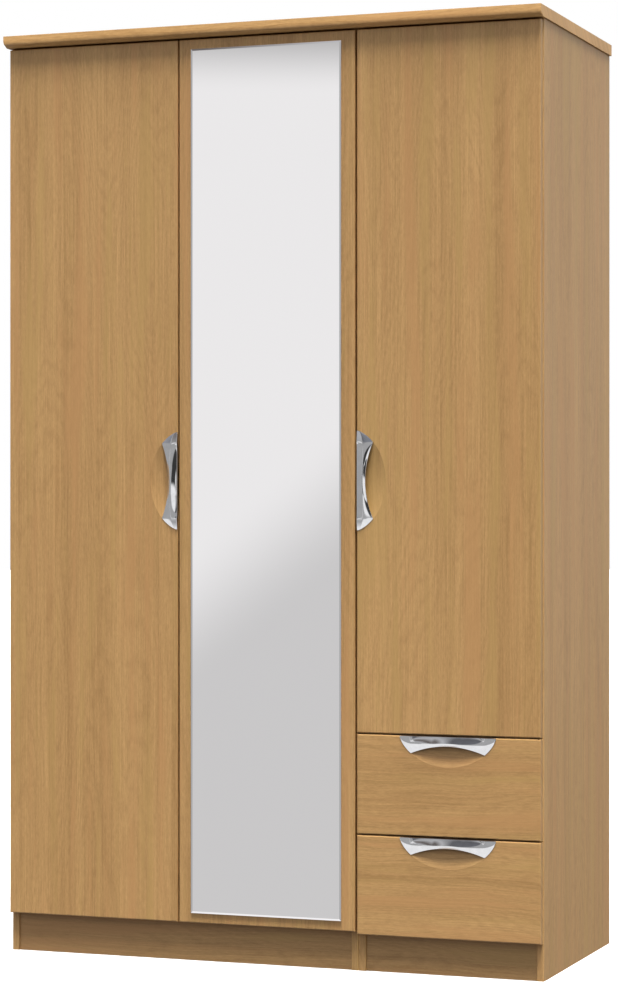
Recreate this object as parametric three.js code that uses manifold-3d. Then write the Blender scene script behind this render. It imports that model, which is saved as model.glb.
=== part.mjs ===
// A free-standing wardrobe: a double unit and a single unit stand side by side under one common top.
// The double unit has a plain door and a mirror door; the single unit has a short door over two drawers.
// Millimetres, +Z up. The origin is on the floor under the middle of the wardrobe, and the doors face -Y.

import * as THREE from "three";
import { mergeVertices } from "three/addons/utils/BufferGeometryUtils.js";
import Module from "manifold-3d";

const wasm = await Module();
wasm.setup();

// ------------------------------------------------------------------ driving dimensions

const TOP_WIDTH = 1110;
const TOP_DEPTH = 530;
const HEIGHT = 1825;
const TOP_THICKNESS = 22;
const TOP_SIDE_OVERHANG = 3.75;
const TOP_FRONT_OVERHANG = 35;
const TOP_BAND_HEIGHT = 14.5;
const TOP_BEVEL_DEPTH = 16;
const TOP_ARRIS = 1;

const BOARD = 15;
const BACK_THICKNESS = 3;
const BACK_INSET = 1.25;
const EDGE_RADIUS = 2.5;
const PLINTH_HEIGHT = 75;
const PLINTH_SETBACK = 4;
const SHELF_HEIGHT = 1600;
const SHELF_SETBACK = 20;
const RAIL_DROP = 50;
const RAIL_HALF_WIDTH = 7.5;
const RAIL_HALF_HEIGHT = 15;
const RAIL_WALL = 1.25;
const COLLAR_LENGTH = 10;
const COLLAR_WALL = 4;
const DIVIDER_DROP = 9;

const DOOR_GAP = 1.5;
const DOOR_TOP = 1799.5;
const DOOR_BOTTOM = 76.5;
const SHORT_DOOR_BOTTOM = 457;
const DOOR_MARGIN = 2;
const PAIR_GAP = 3;
const DRAWER_FRONT_HEIGHT = 190;
const FRONT_GAP = 2.75;

const MIRROR_MARGIN_SIDE = 26.5;
const MIRROR_MARGIN_END = 19.5;
const MIRROR_THICKNESS = 4;
const MIRROR_BEVEL = 3.5;
const MIRROR_BEVEL_DEPTH = 1.5;

const DRAWER_SIDE = 12;
const DRAWER_BOX_HEIGHT = 130;
const DRAWER_BOX_LENGTH = 450;
const DRAWER_BOX_LIFT = 33.5;
const DRAWER_BOTTOM = 3;
const DRAWER_GROOVE_HEIGHT = 10;
const RUNNER_SPACE = 12.5;

// The runners are folded from steel strip. The moving member lies on the drawer's side, with a flange on
// top and a shelf underneath; the track is a channel on the side panel. Each has one roller on an axle.
const STRIP = 1.25;
const RUNNER_HEIGHT = 25;
const RUNNER_FLANGE = 10.5;
const RUNNER_SHELF = 9;
const RUNNER_SETBACK = 2;
const TRACK_DEPTH = 9.5;
const TRACK_DROP = 1;
const TRACK_RISE = 20;
const TRACK_SETBACK = 4;
const TRACK_CHANNEL_START = 28;
const TRACK_WEB_LENGTH = 40;
const ROLLER_WIDTH = 6;
const AXLE_RADIUS = 3;
const AXLE_LENGTH = 4;
const AXLE_CENTRE = 2.5;
const rearRoller = { radius: 8.5, centre: 6.5, setback: 14, height: 10 };
const frontRoller = { radius: 10, centre: 6, setback: 13, height: 13.25 };

// The pull recess is a shallow ellipsoid scooped out of the board's face, open at the board's edge.
const SCOOP_RADII = new THREE.Vector3(133.7, 103.4, 28.5);
const SCOOP_OFFSET = 19;
const PULL_HALF_LENGTH = 95;
const PULL_TIP = 73;
const PULL_WAIST = 19;
const PULL_RIDGE_REACH = 16.5;
const PULL_RIDGE_HEIGHT = 8;
const PULL_SKIN = 2.4;
const PULL_CLEARANCE = 0.4;
const PULL_EDGE_RISE = 0.6;
const PULL_TIP_RISE = 1.9;
const PULL_LIP_RISE = 0.8;
const PULL_LIP_ARCH = 3;
const PULL_LIP_EASE = 0.5;
const PULL_WALL_SHARE = 0.3;
const PULL_SKIN_SHARE = 0.55;
const PULL_FALL_SHARE = 0.55;
const POST_DISTANCE = 64;
const POST_INSET = 12;
const POST_RADIUS = 3.5;
const POST_TOP = 3;
const POST_LEAN = 4;
const DOOR_PULL_HEIGHT = 938.5;

const CUP_RADIUS = 17.25;
const CUP_DEPTH = 11;
const CUP_SETBACK = 22.5;
const CUP_WALL = 1;
const CUP_RIM = 1.5;
const WING_WIDTH = 14;
const WING_HEIGHT = 58;
const HINGE_END_DISTANCE = 95;
const PLATE_THICKNESS = 3;
const PLATE_WIDTH = 30;
const PLATE_HEIGHT = 52;
const PLATE_SETBACK = 45;
const ARM_HALF_HEIGHT = 6;

// The cranked arm's outline: out from the side panel, and back from the case's front.
const ARM_OUTLINE = [
  [5, 78],
  [10, 78],
  [15, 62],
  [15, 12],
  [11, 1],
  [4, 1],
  [5, 28],
  [2, 34],
  [2, 56],
  [5, 62],
];

// ------------------------------------------------------------------ worked-out places

const SMALL_GAP = 0.25;
const FRONT_Y = -TOP_DEPTH / 2 + TOP_FRONT_OVERHANG;
const REAR_Y = TOP_DEPTH / 2;
const BOARD_REAR_Y = REAR_Y - BACK_THICKNESS;
const DOOR_BACK_Y = FRONT_Y - DOOR_GAP;
const DOOR_FACE_Y = DOOR_BACK_Y - BOARD;
const SIDE_TOP = HEIGHT - TOP_THICKNESS;
const FLOOR_BOARD_TOP = PLINTH_HEIGHT + BOARD;
const CARCASS_LEFT = -TOP_WIDTH / 2 + TOP_SIDE_OVERHANG;
const CARCASS_RIGHT = -CARCASS_LEFT;
const MODULE = (CARCASS_RIGHT - CARCASS_LEFT) / 3;
const UNIT_JOINT = CARCASS_RIGHT - MODULE;
const DIVIDER_BOTTOM = SHORT_DOOR_BOTTOM - DIVIDER_DROP;

const doubleUnit = { name: "double", left: CARCASS_LEFT, right: UNIT_JOINT };
const singleUnit = { name: "single", left: UNIT_JOINT, right: CARCASS_RIGHT };
const middleGap = doubleUnit.left + MODULE;

// ------------------------------------------------------------------ materials

const oak = new THREE.MeshStandardMaterial({ color: 0xb89461, roughness: 0.55, metalness: 0 });
const oakInside = new THREE.MeshStandardMaterial({ color: 0xc3a273, roughness: 0.6, metalness: 0 });
const hardboard = new THREE.MeshStandardMaterial({ color: 0xb49a74, roughness: 0.75, metalness: 0 });
const chrome = new THREE.MeshStandardMaterial({ color: 0xc9c9cc, roughness: 0.1, metalness: 1 });
const steel = new THREE.MeshStandardMaterial({ color: 0xb9bbbd, roughness: 0.35, metalness: 1 });
const glass = new THREE.MeshStandardMaterial({ color: 0xdcdcde, roughness: 0.03, metalness: 1 });
const epoxy = new THREE.MeshStandardMaterial({ color: 0xe6e4de, roughness: 0.45, metalness: 0 });

// ------------------------------------------------------------------ shape helpers

const wardrobe = new THREE.Group();

function toSolid(geometry) {
  const bare = geometry.clone();
  bare.deleteAttribute("normal");
  bare.deleteAttribute("uv");
  const merged = mergeVertices(bare, 1e-4);
  const mesh = new wasm.Mesh({
    numProp: 3,
    vertProperties: new Float32Array(merged.attributes.position.array),
    triVerts: new Uint32Array(merged.index.array),
  });
  return new wasm.Manifold(mesh);
}

function toGeometry(solid) {
  const mesh = solid.getMesh();
  const geometry = new THREE.BufferGeometry();
  geometry.setAttribute("position", new THREE.BufferAttribute(mesh.vertProperties, 3));
  geometry.setIndex(new THREE.BufferAttribute(mesh.triVerts, 1));
  geometry.computeVertexNormals();
  return geometry;
}

function addPiece(name, geometry, material, parent = wardrobe) {
  const mesh = new THREE.Mesh(geometry, material);
  mesh.name = name;
  parent.add(mesh);
  return mesh;
}

// A square-edged board between two opposite corners.
function addBoard(name, low, high, material) {
  const from = new THREE.Vector3(...low);
  const size = new THREE.Vector3(...high).sub(from);
  const board = addPiece(name, new THREE.BoxGeometry(size.x, size.y, size.z), material);
  board.position.copy(from).addScaledVector(size, 0.5);
  return board;
}

function shapeOf(points) {
  return new THREE.Shape(points.map(([u, v]) => new THREE.Vector2(u, v)));
}

// Runs an outline given in (y, z) along X.
function extrudeX(shape, fromX, toX, curveSegments = 6) {
  const settings = { depth: toX - fromX, bevelEnabled: false, curveSegments };
  const geometry = new THREE.ExtrudeGeometry(shape, settings);
  const turn = new THREE.Matrix4().makeBasis(
    new THREE.Vector3(0, 1, 0),
    new THREE.Vector3(0, 0, 1),
    new THREE.Vector3(1, 0, 0),
  );
  geometry.applyMatrix4(turn);
  geometry.translate(fromX, 0, 0);
  return geometry;
}

// Runs an outline given in (x, z) along Y.
function extrudeY(shape, fromY, toY) {
  const geometry = new THREE.ExtrudeGeometry(shape, { depth: toY - fromY, bevelEnabled: false });
  geometry.rotateX(Math.PI / 2);
  geometry.translate(0, toY, 0);
  return geometry;
}

// Runs a plan outline given in (x, y) up Z.
function extrudeZ(shape, fromZ, toZ, curveSegments = 3) {
  const settings = { depth: toZ - fromZ, bevelEnabled: false, curveSegments };
  const geometry = new THREE.ExtrudeGeometry(shape, settings);
  geometry.translate(0, 0, fromZ);
  return geometry;
}

// The plan of an upright board whose two front corners are rounded.
function roundedFrontPlan(left, right, front, rear, radius) {
  const plan = new THREE.Shape();
  plan.moveTo(left, rear);
  plan.lineTo(left, front + radius);
  plan.absarc(left + radius, front + radius, radius, Math.PI, 1.5 * Math.PI, false);
  plan.absarc(right - radius, front + radius, radius, 1.5 * Math.PI, 2 * Math.PI, false);
  plan.lineTo(right, rear);
  plan.closePath();
  return plan;
}

// Skins a row of rings that have equally many points, and closes both ends with a fan.
function loft(rings) {
  const count = rings[0].length;
  const positions = rings.flat().flatMap((point) => point.toArray());
  const triangles = [];
  for (let ring = 0; ring + 1 < rings.length; ring += 1) {
    for (let i = 0; i < count; i += 1) {
      const a = ring * count + i;
      const b = ring * count + ((i + 1) % count);
      triangles.push(a, b, b + count, a, b + count, a + count);
    }
  }
  const last = (rings.length - 1) * count;
  for (let i = 1; i + 1 < count; i += 1) {
    triangles.push(0, i + 1, i);
    triangles.push(last, last + i, last + i + 1);
  }
  const geometry = new THREE.BufferGeometry();
  geometry.setAttribute("position", new THREE.Float32BufferAttribute(positions, 3));
  geometry.setIndex(triangles);
  return geometry;
}

// A cylinder whose axis runs along X, Y or Z, centred on a point.
function cylinder(radius, length, axis, centre, sides = 24) {
  const geometry = new THREE.CylinderGeometry(radius, radius, length, sides);
  if (axis === "x") geometry.rotateZ(Math.PI / 2);
  if (axis === "z") geometry.rotateX(Math.PI / 2);
  geometry.translate(...centre);
  return geometry;
}

// ------------------------------------------------------------------ common top

function addTop() {
  const front = -TOP_DEPTH / 2;
  const profile = shapeOf([
    [REAR_Y, SIDE_TOP],
    [REAR_Y, HEIGHT],
    [front + TOP_ARRIS, HEIGHT],
    [front, HEIGHT - TOP_ARRIS],
    [front, HEIGHT - TOP_BAND_HEIGHT],
    [front + TOP_BEVEL_DEPTH, SIDE_TOP],
  ]);
  addPiece("wardrobe_top", extrudeX(profile, -TOP_WIDTH / 2, TOP_WIDTH / 2), oak);
}

// ------------------------------------------------------------------ units

function addSide(name, left) {
  const plan = roundedFrontPlan(left, left + BOARD, FRONT_Y, BOARD_REAR_Y, EDGE_RADIUS);
  addPiece(name, extrudeZ(plan, 0, SIDE_TOP), oak);
}

function addUnitCase({ name, left, right }) {
  const inLeft = left + BOARD;
  const inRight = right - BOARD;
  const plinthFront = FRONT_Y + PLINTH_SETBACK;
  addSide(`${name}_left_side`, left);
  addSide(`${name}_right_side`, inRight);
  const floorLow = [inLeft, FRONT_Y, PLINTH_HEIGHT];
  const floorHigh = [inRight, BOARD_REAR_Y, FLOOR_BOARD_TOP];
  addBoard(`${name}_base`, floorLow, floorHigh, oakInside);
  addBoard(`${name}_plinth`, [inLeft, plinthFront, 0], [inRight, plinthFront + BOARD, PLINTH_HEIGHT], oak);
  addBoard(
    `${name}_back`,
    [left + BACK_INSET, BOARD_REAR_Y, PLINTH_HEIGHT],
    [right - BACK_INSET, REAR_Y, SIDE_TOP - SMALL_GAP],
    hardboard,
  );
}

function addShelf(name, { left, right }, bottom, setback) {
  addBoard(
    name,
    [left + BOARD, FRONT_Y + setback, bottom],
    [right - BOARD, BOARD_REAR_Y, bottom + BOARD],
    oakInside,
  );
}

// An upright oval, as an outline or as a hole, in (y, z).
function oval(path, centreY, centreZ, halfWidth, halfHeight) {
  const straight = halfHeight - halfWidth;
  path.absarc(centreY, centreZ + straight, halfWidth, 0, Math.PI, false);
  path.absarc(centreY, centreZ - straight, halfWidth, Math.PI, 2 * Math.PI, false);
  path.closePath();
  return path;
}

// An oval hanging tube with a collar at each end that seats on the side panel.
function addRail({ name, left, right }) {
  const centreY = (FRONT_Y + BOARD_REAR_Y) / 2;
  const centreZ = SHELF_HEIGHT - RAIL_DROP;
  const section = (path, extra) =>
    oval(path, centreY, centreZ, RAIL_HALF_WIDTH + extra, RAIL_HALF_HEIGHT + extra);
  const tubeOutline = section(new THREE.Shape(), 0);
  const collarOutline = section(new THREE.Shape(), COLLAR_WALL);
  tubeOutline.holes.push(section(new THREE.Path(), -RAIL_WALL));
  collarOutline.holes.push(section(new THREE.Path(), -RAIL_WALL));
  const from = left + BOARD;
  const to = right - BOARD;
  const tube = toSolid(extrudeX(tubeOutline, from, to, 5));
  const leftCollar = toSolid(extrudeX(collarOutline, from, from + COLLAR_LENGTH, 5));
  const rightCollar = toSolid(extrudeX(collarOutline, to - COLLAR_LENGTH, to, 5));
  addPiece(`${name}_rail`, toGeometry(tube.add(leftCollar).add(rightCollar)), chrome);
}

// ------------------------------------------------------------------ pull recess and chrome pull
// Both are drawn in the pull's own frame: X along the board's edge, Y in from the edge, Z out of the face.

function scoopDepth(along, inward) {
  const x = along / SCOOP_RADII.x;
  const y = (inward + SCOOP_OFFSET) / SCOOP_RADII.y;
  return SCOOP_RADII.z * Math.sqrt(1 - x * x - y * y) - SCOOP_OFFSET;
}

// How far in from the edge the scoop's outline lies on the face.
function scoopReach(along) {
  const level = Math.sqrt(1 - (SCOOP_OFFSET / SCOOP_RADII.z) ** 2);
  const x = along / (SCOOP_RADII.x * level);
  return SCOOP_RADII.y * level * Math.sqrt(1 - x * x) - SCOOP_OFFSET;
}

// The starts of equally long steps from one value up to another.
function evenSteps(from, to, count) {
  return Array.from({ length: count }, (_, i) => from + ((to - from) * i) / count);
}

function pullReach(along) {
  if (Math.abs(along) > PULL_TIP) return scoopReach(along) - PULL_CLEARANCE;
  const tipReach = scoopReach(PULL_TIP) - PULL_CLEARANCE;
  return PULL_WAIST + (tipReach - PULL_WAIST) * (along / PULL_TIP) ** 2;
}

// One closed section of the pull: over the crown from edge to lip, back underneath, and down the edge wall.
function pullSection(along) {
  const share = Math.abs(along) / PULL_HALF_LENGTH;
  const fade = Math.sqrt(Math.max(0, 1 - share * share));
  const reach = pullReach(along);
  const edge = PULL_CLEARANCE;
  const narrow = PULL_WALL_SHARE * (reach - edge);
  const ridgeIn = Math.max(edge + narrow, PULL_RIDGE_REACH * fade);
  const ridgeUp = PULL_TIP_RISE + (PULL_RIDGE_HEIGHT - PULL_TIP_RISE) * fade * fade;
  const lipUp = PULL_LIP_RISE + PULL_LIP_ARCH * Math.max(0, 1 - (along / PULL_TIP) ** 2);
  const skin = Math.min(PULL_SKIN, PULL_SKIN_SHARE * ridgeUp);
  const wall = Math.min(PULL_SKIN, narrow);
  const foot = -Math.max(0, scoopDepth(along, 0) - PULL_CLEARANCE);
  const crownSteps = 3;
  const section = [];
  for (let step = 0; step <= crownSteps; step += 1) {
    const t = step / crownSteps;
    const rise = 1 - (1 - t) * (1 - t);
    section.push([edge + (ridgeIn - edge) * t, PULL_EDGE_RISE + (ridgeUp - PULL_EDGE_RISE) * rise]);
  }
  section.push([ridgeIn + PULL_FALL_SHARE * (reach - ridgeIn), (lipUp + ridgeUp) / 2]);
  section.push([reach, lipUp]);
  section.push([reach - 0.4 * wall, lipUp - PULL_LIP_EASE]);
  section.push([ridgeIn, ridgeUp - skin]);
  section.push([edge + wall, Math.min(PULL_EDGE_RISE / 2, ridgeUp - skin)]);
  section.push([edge + wall, foot]);
  section.push([edge, foot]);
  return section.map(([inward, up]) => new THREE.Vector3(along, inward, up));
}

function pullGeometry() {
  const stations = [
    ...evenSteps(-PULL_HALF_LENGTH, -PULL_TIP, 4),
    ...evenSteps(-PULL_TIP, PULL_TIP, 12),
    ...evenSteps(PULL_TIP, PULL_HALF_LENGTH, 4),
    PULL_HALF_LENGTH,
  ];
  const rings = stations.map((along) => pullSection(along).reverse());
  let solid = toSolid(loft(rings));
  for (const along of [-POST_DISTANCE, POST_DISTANCE]) {
    const bottom = -scoopDepth(along, POST_INSET + POST_LEAN) + PULL_CLEARANCE;
    const centre = [along, POST_INSET, (POST_TOP + bottom) / 2];
    const post = cylinder(POST_RADIUS, POST_TOP - bottom, "z", centre, 12);
    solid = solid.add(toSolid(post));
  }
  return toGeometry(solid);
}

function scoopGeometry() {
  const geometry = new THREE.SphereGeometry(1, 48, 32);
  geometry.rotateX(Math.PI / 2);
  geometry.scale(SCOOP_RADII.x, SCOOP_RADII.y, SCOOP_RADII.z);
  geometry.translate(0, -SCOOP_OFFSET, SCOOP_OFFSET);
  return geometry;
}

// The frame of a pull whose board edge is at a point on the face, given the way in from that edge.
function pullFrame(point, inward) {
  const out = new THREE.Vector3(0, -1, 0);
  const across = new THREE.Vector3(...inward);
  const along = new THREE.Vector3().crossVectors(across, out);
  return new THREE.Matrix4().makeBasis(along, across, out).setPosition(...point);
}

function addPull(name, frame) {
  const pull = addPiece(name, pullGeometry(), chrome);
  pull.quaternion.setFromRotationMatrix(frame);
  pull.position.setFromMatrixPosition(frame);
}

// ------------------------------------------------------------------ doors and their hinges

function frontPanelSolid(left, right, bottom, top) {
  const plan = roundedFrontPlan(left, right, DOOR_FACE_Y, DOOR_BACK_Y, EDGE_RADIUS);
  return toSolid(extrudeZ(plan, bottom, top));
}

function hingeHeights(bottom, top, count) {
  const first = bottom + HINGE_END_DISTANCE;
  const last = top - HINGE_END_DISTANCE;
  return Array.from({ length: count }, (_, i) => first + ((last - first) * i) / (count - 1));
}

// A cup of sheet steel let into the door, with two screw wings on the door's back.
function cupGeometry() {
  const rim = CUP_RADIUS + CUP_RIM;
  const bore = CUP_RADIUS - CUP_WALL;
  const profile = [
    [0, -CUP_DEPTH],
    [CUP_RADIUS, -CUP_DEPTH],
    [CUP_RADIUS, 0],
    [rim, 0],
    [rim, CUP_WALL],
    [bore, CUP_WALL],
    [bore, -CUP_DEPTH + CUP_WALL],
    [0, -CUP_DEPTH + CUP_WALL],
  ].map(([radius, up]) => new THREE.Vector2(radius, up));
  const bowl = new THREE.LatheGeometry(profile, 20);
  const plate = new THREE.BoxGeometry(WING_WIDTH, CUP_WALL, WING_HEIGHT);
  plate.translate(0, CUP_WALL / 2, 0);
  const hole = cylinder(bore, 4 * CUP_WALL, "y", [0, CUP_WALL / 2, 0], 20);
  return toGeometry(toSolid(plate).subtract(toSolid(hole)).add(toSolid(bowl)));
}

// A cranked arm on its mounting plate. The plate lies on the side panel, and +X points into the unit.
function armGeometry() {
  const plate = new THREE.BoxGeometry(PLATE_THICKNESS, PLATE_WIDTH, PLATE_HEIGHT);
  plate.translate(PLATE_THICKNESS / 2, PLATE_SETBACK, 0);
  const outline = shapeOf(ARM_OUTLINE);
  const arm = new THREE.ExtrudeGeometry(outline, { depth: 2 * ARM_HALF_HEIGHT, bevelEnabled: false });
  arm.translate(0, 0, -ARM_HALF_HEIGHT);
  return toGeometry(toSolid(plate).add(toSolid(arm)));
}

// hingeSide is -1 where the hinges are on the door's left edge, and 1 where they are on its right.
function addDoor({ name, left, right, bottom, top, hingeSide, hingeCount, caseFace, pullEdge }) {
  let panel = frontPanelSolid(left, right, bottom, top);
  const hingeEdge = hingeSide < 0 ? left : right;
  const cupX = hingeEdge - hingeSide * CUP_SETBACK;
  hingeHeights(bottom, top, hingeCount).forEach((z, index) => {
    const boreDepth = CUP_DEPTH + SMALL_GAP;
    const boreCentre = [cupX, DOOR_BACK_Y - boreDepth / 2 + 1, z];
    panel = panel.subtract(toSolid(cylinder(CUP_RADIUS + SMALL_GAP, boreDepth + 2, "y", boreCentre, 20)));
    const cup = addPiece(`${name}_cup_${index + 1}`, cupGeometry(), steel);
    cup.position.set(cupX, DOOR_BACK_Y, z);
    const arm = addPiece(`${name}_arm_${index + 1}`, armGeometry(), steel);
    arm.position.set(caseFace, FRONT_Y, z);
    if (hingeSide > 0) arm.rotation.set(0, Math.PI, 0);
  });
  if (pullEdge !== 0) {
    const edgeX = pullEdge < 0 ? left : right;
    const frame = pullFrame([edgeX, DOOR_FACE_Y, DOOR_PULL_HEIGHT], [-pullEdge, 0, 0]);
    panel = panel.subtract(toSolid(scoopGeometry().applyMatrix4(frame)));
    addPull(`${name}_handle`, frame);
  }
  addPiece(`${name}_panel`, toGeometry(panel), oak);
}

// A glued mirror whose front edges are ground to a narrow bevel.
function addMirror(left, right, bottom, top) {
  const ring = (inset, y) => [
    new THREE.Vector3(left + inset, y, bottom + inset),
    new THREE.Vector3(right - inset, y, bottom + inset),
    new THREE.Vector3(right - inset, y, top - inset),
    new THREE.Vector3(left + inset, y, top - inset),
  ];
  const face = DOOR_FACE_Y - MIRROR_THICKNESS;
  const rings = [ring(MIRROR_BEVEL, face), ring(0, face + MIRROR_BEVEL_DEPTH), ring(0, DOOR_FACE_Y)];
  addPiece("mirror_glass", loft(rings.map((points) => points.reverse())), glass);
}

// ------------------------------------------------------------------ drawers and their runners

// The side's outline in (x, z), with a groove for the bottom. inner is the face that looks into the drawer.
function drawerSideOutline(outer, inner, bottom) {
  const grooveDepth = (outer - inner) / 3;
  const grooveBottom = bottom + DRAWER_GROOVE_HEIGHT;
  const grooveTop = grooveBottom + DRAWER_BOTTOM + 2 * SMALL_GAP;
  return shapeOf([
    [outer, bottom],
    [inner, bottom],
    [inner, grooveBottom],
    [inner + grooveDepth, grooveBottom],
    [inner + grooveDepth, grooveTop],
    [inner, grooveTop],
    [inner, bottom + DRAWER_BOX_HEIGHT],
    [outer, bottom + DRAWER_BOX_HEIGHT],
  ]);
}

// The runner's member on the drawer: a folded strip with a rolling flange, and a roller at its rear end.
// outward is -1 on the left of the drawer and 1 on its right.
function drawerRunner(faceX, outward, bottom) {
  const at = (distance) => faceX + outward * distance;
  const outline = shapeOf([
    [at(-RUNNER_SHELF), bottom - STRIP],
    [at(STRIP), bottom - STRIP],
    [at(STRIP), bottom + RUNNER_HEIGHT - STRIP],
    [at(RUNNER_FLANGE), bottom + RUNNER_HEIGHT - STRIP],
    [at(RUNNER_FLANGE), bottom + RUNNER_HEIGHT],
    [at(0), bottom + RUNNER_HEIGHT],
    [at(0), bottom],
    [at(-RUNNER_SHELF), bottom],
  ]);
  const rear = DOOR_BACK_Y + DRAWER_BOX_LENGTH;
  const strips = toSolid(extrudeY(outline, DOOR_BACK_Y + RUNNER_SETBACK, rear));
  return toGeometry(strips.add(rollerSolid(rearRoller, at, rear - rearRoller.setback, bottom)));
}

// A wheel on its axle. at gives the place across the runner at a distance from the face it is fixed to.
function rollerSolid({ radius, centre, height }, at, y, bottom) {
  const wheel = cylinder(radius, ROLLER_WIDTH, "x", [at(centre), y, bottom + height], 16);
  const axle = cylinder(AXLE_RADIUS, AXLE_LENGTH, "x", [at(AXLE_CENTRE), y, bottom + height], 8);
  return toSolid(wheel).add(toSolid(axle));
}

// The runner's member on the side panel: a channel open towards the drawer, and a roller at its front end.
function caseRunner(panelX, inward, bottom) {
  const front = FRONT_Y + TRACK_SETBACK;
  const foot = bottom - TRACK_DROP;
  const head = bottom + TRACK_RISE + STRIP;
  const at = (distance) => panelX + inward * distance;
  const channel = shapeOf([
    [at(0), foot],
    [at(TRACK_DEPTH), foot],
    [at(TRACK_DEPTH), foot + STRIP],
    [at(STRIP), foot + STRIP],
    [at(STRIP), head - STRIP],
    [at(TRACK_DEPTH), head - STRIP],
    [at(TRACK_DEPTH), head],
    [at(0), head],
  ]);
  const web = shapeOf([
    [at(0), foot],
    [at(STRIP), foot],
    [at(STRIP), head],
    [at(0), head],
  ]);
  const channelSolid = toSolid(extrudeY(channel, front + TRACK_CHANNEL_START, front + DRAWER_BOX_LENGTH));
  const webSolid = toSolid(extrudeY(web, front, front + TRACK_WEB_LENGTH));
  const wheel = rollerSolid(frontRoller, at, front + frontRoller.setback, bottom);
  return toGeometry(channelSolid.add(webSolid).add(wheel));
}

function addDrawer(name, frontBottom, frontLeft, frontRight) {
  const frontTop = frontBottom + DRAWER_FRONT_HEIGHT;
  const middle = (frontLeft + frontRight) / 2;
  const pull = pullFrame([middle, DOOR_FACE_Y, frontTop], [0, 0, -1]);
  const board = frontPanelSolid(frontLeft, frontRight, frontBottom, frontTop);
  const scooped = board.subtract(toSolid(scoopGeometry().applyMatrix4(pull)));
  addPiece(`${name}_front`, toGeometry(scooped), oak);
  addPull(`${name}_handle`, pull);

  const boxBottom = frontBottom + DRAWER_BOX_LIFT;
  const boxRear = DOOR_BACK_Y + DRAWER_BOX_LENGTH;
  const caseLeft = singleUnit.left + BOARD;
  const caseRight = singleUnit.right - BOARD;
  const outLeft = caseLeft + RUNNER_SPACE;
  const outRight = caseRight - RUNNER_SPACE;
  const inLeft = outLeft + DRAWER_SIDE;
  const inRight = outRight - DRAWER_SIDE;
  const leftOutline = drawerSideOutline(outLeft, inLeft, boxBottom);
  const rightOutline = drawerSideOutline(outRight, inRight, boxBottom);
  addPiece(`${name}_left_side`, extrudeY(leftOutline, DOOR_BACK_Y, boxRear), oakInside);
  addPiece(`${name}_right_side`, extrudeY(rightOutline, DOOR_BACK_Y, boxRear), oakInside);

  const floorBottom = boxBottom + DRAWER_GROOVE_HEIGHT + SMALL_GAP;
  const grooveDepth = DRAWER_SIDE / 3;
  addBoard(
    `${name}_bottom`,
    [inLeft - grooveDepth + SMALL_GAP, DOOR_BACK_Y + SMALL_GAP, floorBottom],
    [inRight + grooveDepth - SMALL_GAP, boxRear, floorBottom + DRAWER_BOTTOM],
    hardboard,
  );
  addBoard(
    `${name}_back`,
    [inLeft, boxRear - DRAWER_SIDE, floorBottom + DRAWER_BOTTOM + SMALL_GAP],
    [inRight, boxRear, boxBottom + DRAWER_BOX_HEIGHT],
    oakInside,
  );
  addPiece(`${name}_left_runner`, drawerRunner(outLeft, -1, boxBottom), epoxy);
  addPiece(`${name}_right_runner`, drawerRunner(outRight, 1, boxBottom), epoxy);
  addPiece(`${name}_left_track`, caseRunner(caseLeft, 1, boxBottom), epoxy);
  addPiece(`${name}_right_track`, caseRunner(caseRight, -1, boxBottom), epoxy);
}

// ------------------------------------------------------------------ assembly

addTop();
for (const unit of [doubleUnit, singleUnit]) {
  addUnitCase(unit);
  addShelf(`${unit.name}_shelf`, unit, SHELF_HEIGHT, SHELF_SETBACK);
  addRail(unit);
}
addShelf("single_divider", singleUnit, DIVIDER_BOTTOM, 0);

addDoor({
  name: "left_door",
  left: doubleUnit.left + DOOR_MARGIN,
  right: middleGap - PAIR_GAP / 2,
  bottom: DOOR_BOTTOM,
  top: DOOR_TOP,
  hingeSide: -1,
  hingeCount: 3,
  caseFace: doubleUnit.left + BOARD,
  pullEdge: 1,
});

const mirrorDoor = {
  name: "mirror_door",
  left: middleGap + PAIR_GAP / 2,
  right: doubleUnit.right - DOOR_MARGIN,
  bottom: DOOR_BOTTOM,
  top: DOOR_TOP,
  hingeSide: 1,
  hingeCount: 3,
  caseFace: doubleUnit.right - BOARD,
  pullEdge: 0,
};
addDoor(mirrorDoor);
addMirror(
  mirrorDoor.left + MIRROR_MARGIN_SIDE,
  mirrorDoor.right - MIRROR_MARGIN_SIDE,
  mirrorDoor.bottom + MIRROR_MARGIN_END,
  mirrorDoor.top - MIRROR_MARGIN_END,
);

const singleFrontLeft = singleUnit.left + DOOR_MARGIN;
const singleFrontRight = singleUnit.right - DOOR_MARGIN;
addDoor({
  name: "right_door",
  left: singleFrontLeft,
  right: singleFrontRight,
  bottom: SHORT_DOOR_BOTTOM,
  top: DOOR_TOP,
  hingeSide: 1,
  hingeCount: 2,
  caseFace: singleUnit.right - BOARD,
  pullEdge: -1,
});

const upperFrontBottom = SHORT_DOOR_BOTTOM - FRONT_GAP - DRAWER_FRONT_HEIGHT;
const lowerFrontBottom = upperFrontBottom - FRONT_GAP - DRAWER_FRONT_HEIGHT;
addDrawer("upper_drawer", upperFrontBottom, singleFrontLeft, singleFrontRight);
addDrawer("lower_drawer", lowerFrontBottom, singleFrontLeft, singleFrontRight);

export default wardrobe;
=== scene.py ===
"""Finishes a wardrobe round its frame: boards, mirror, chrome pulls, fittings and a plain studio."""

import math

import bpy
from mathutils import Matrix, Vector


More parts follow.
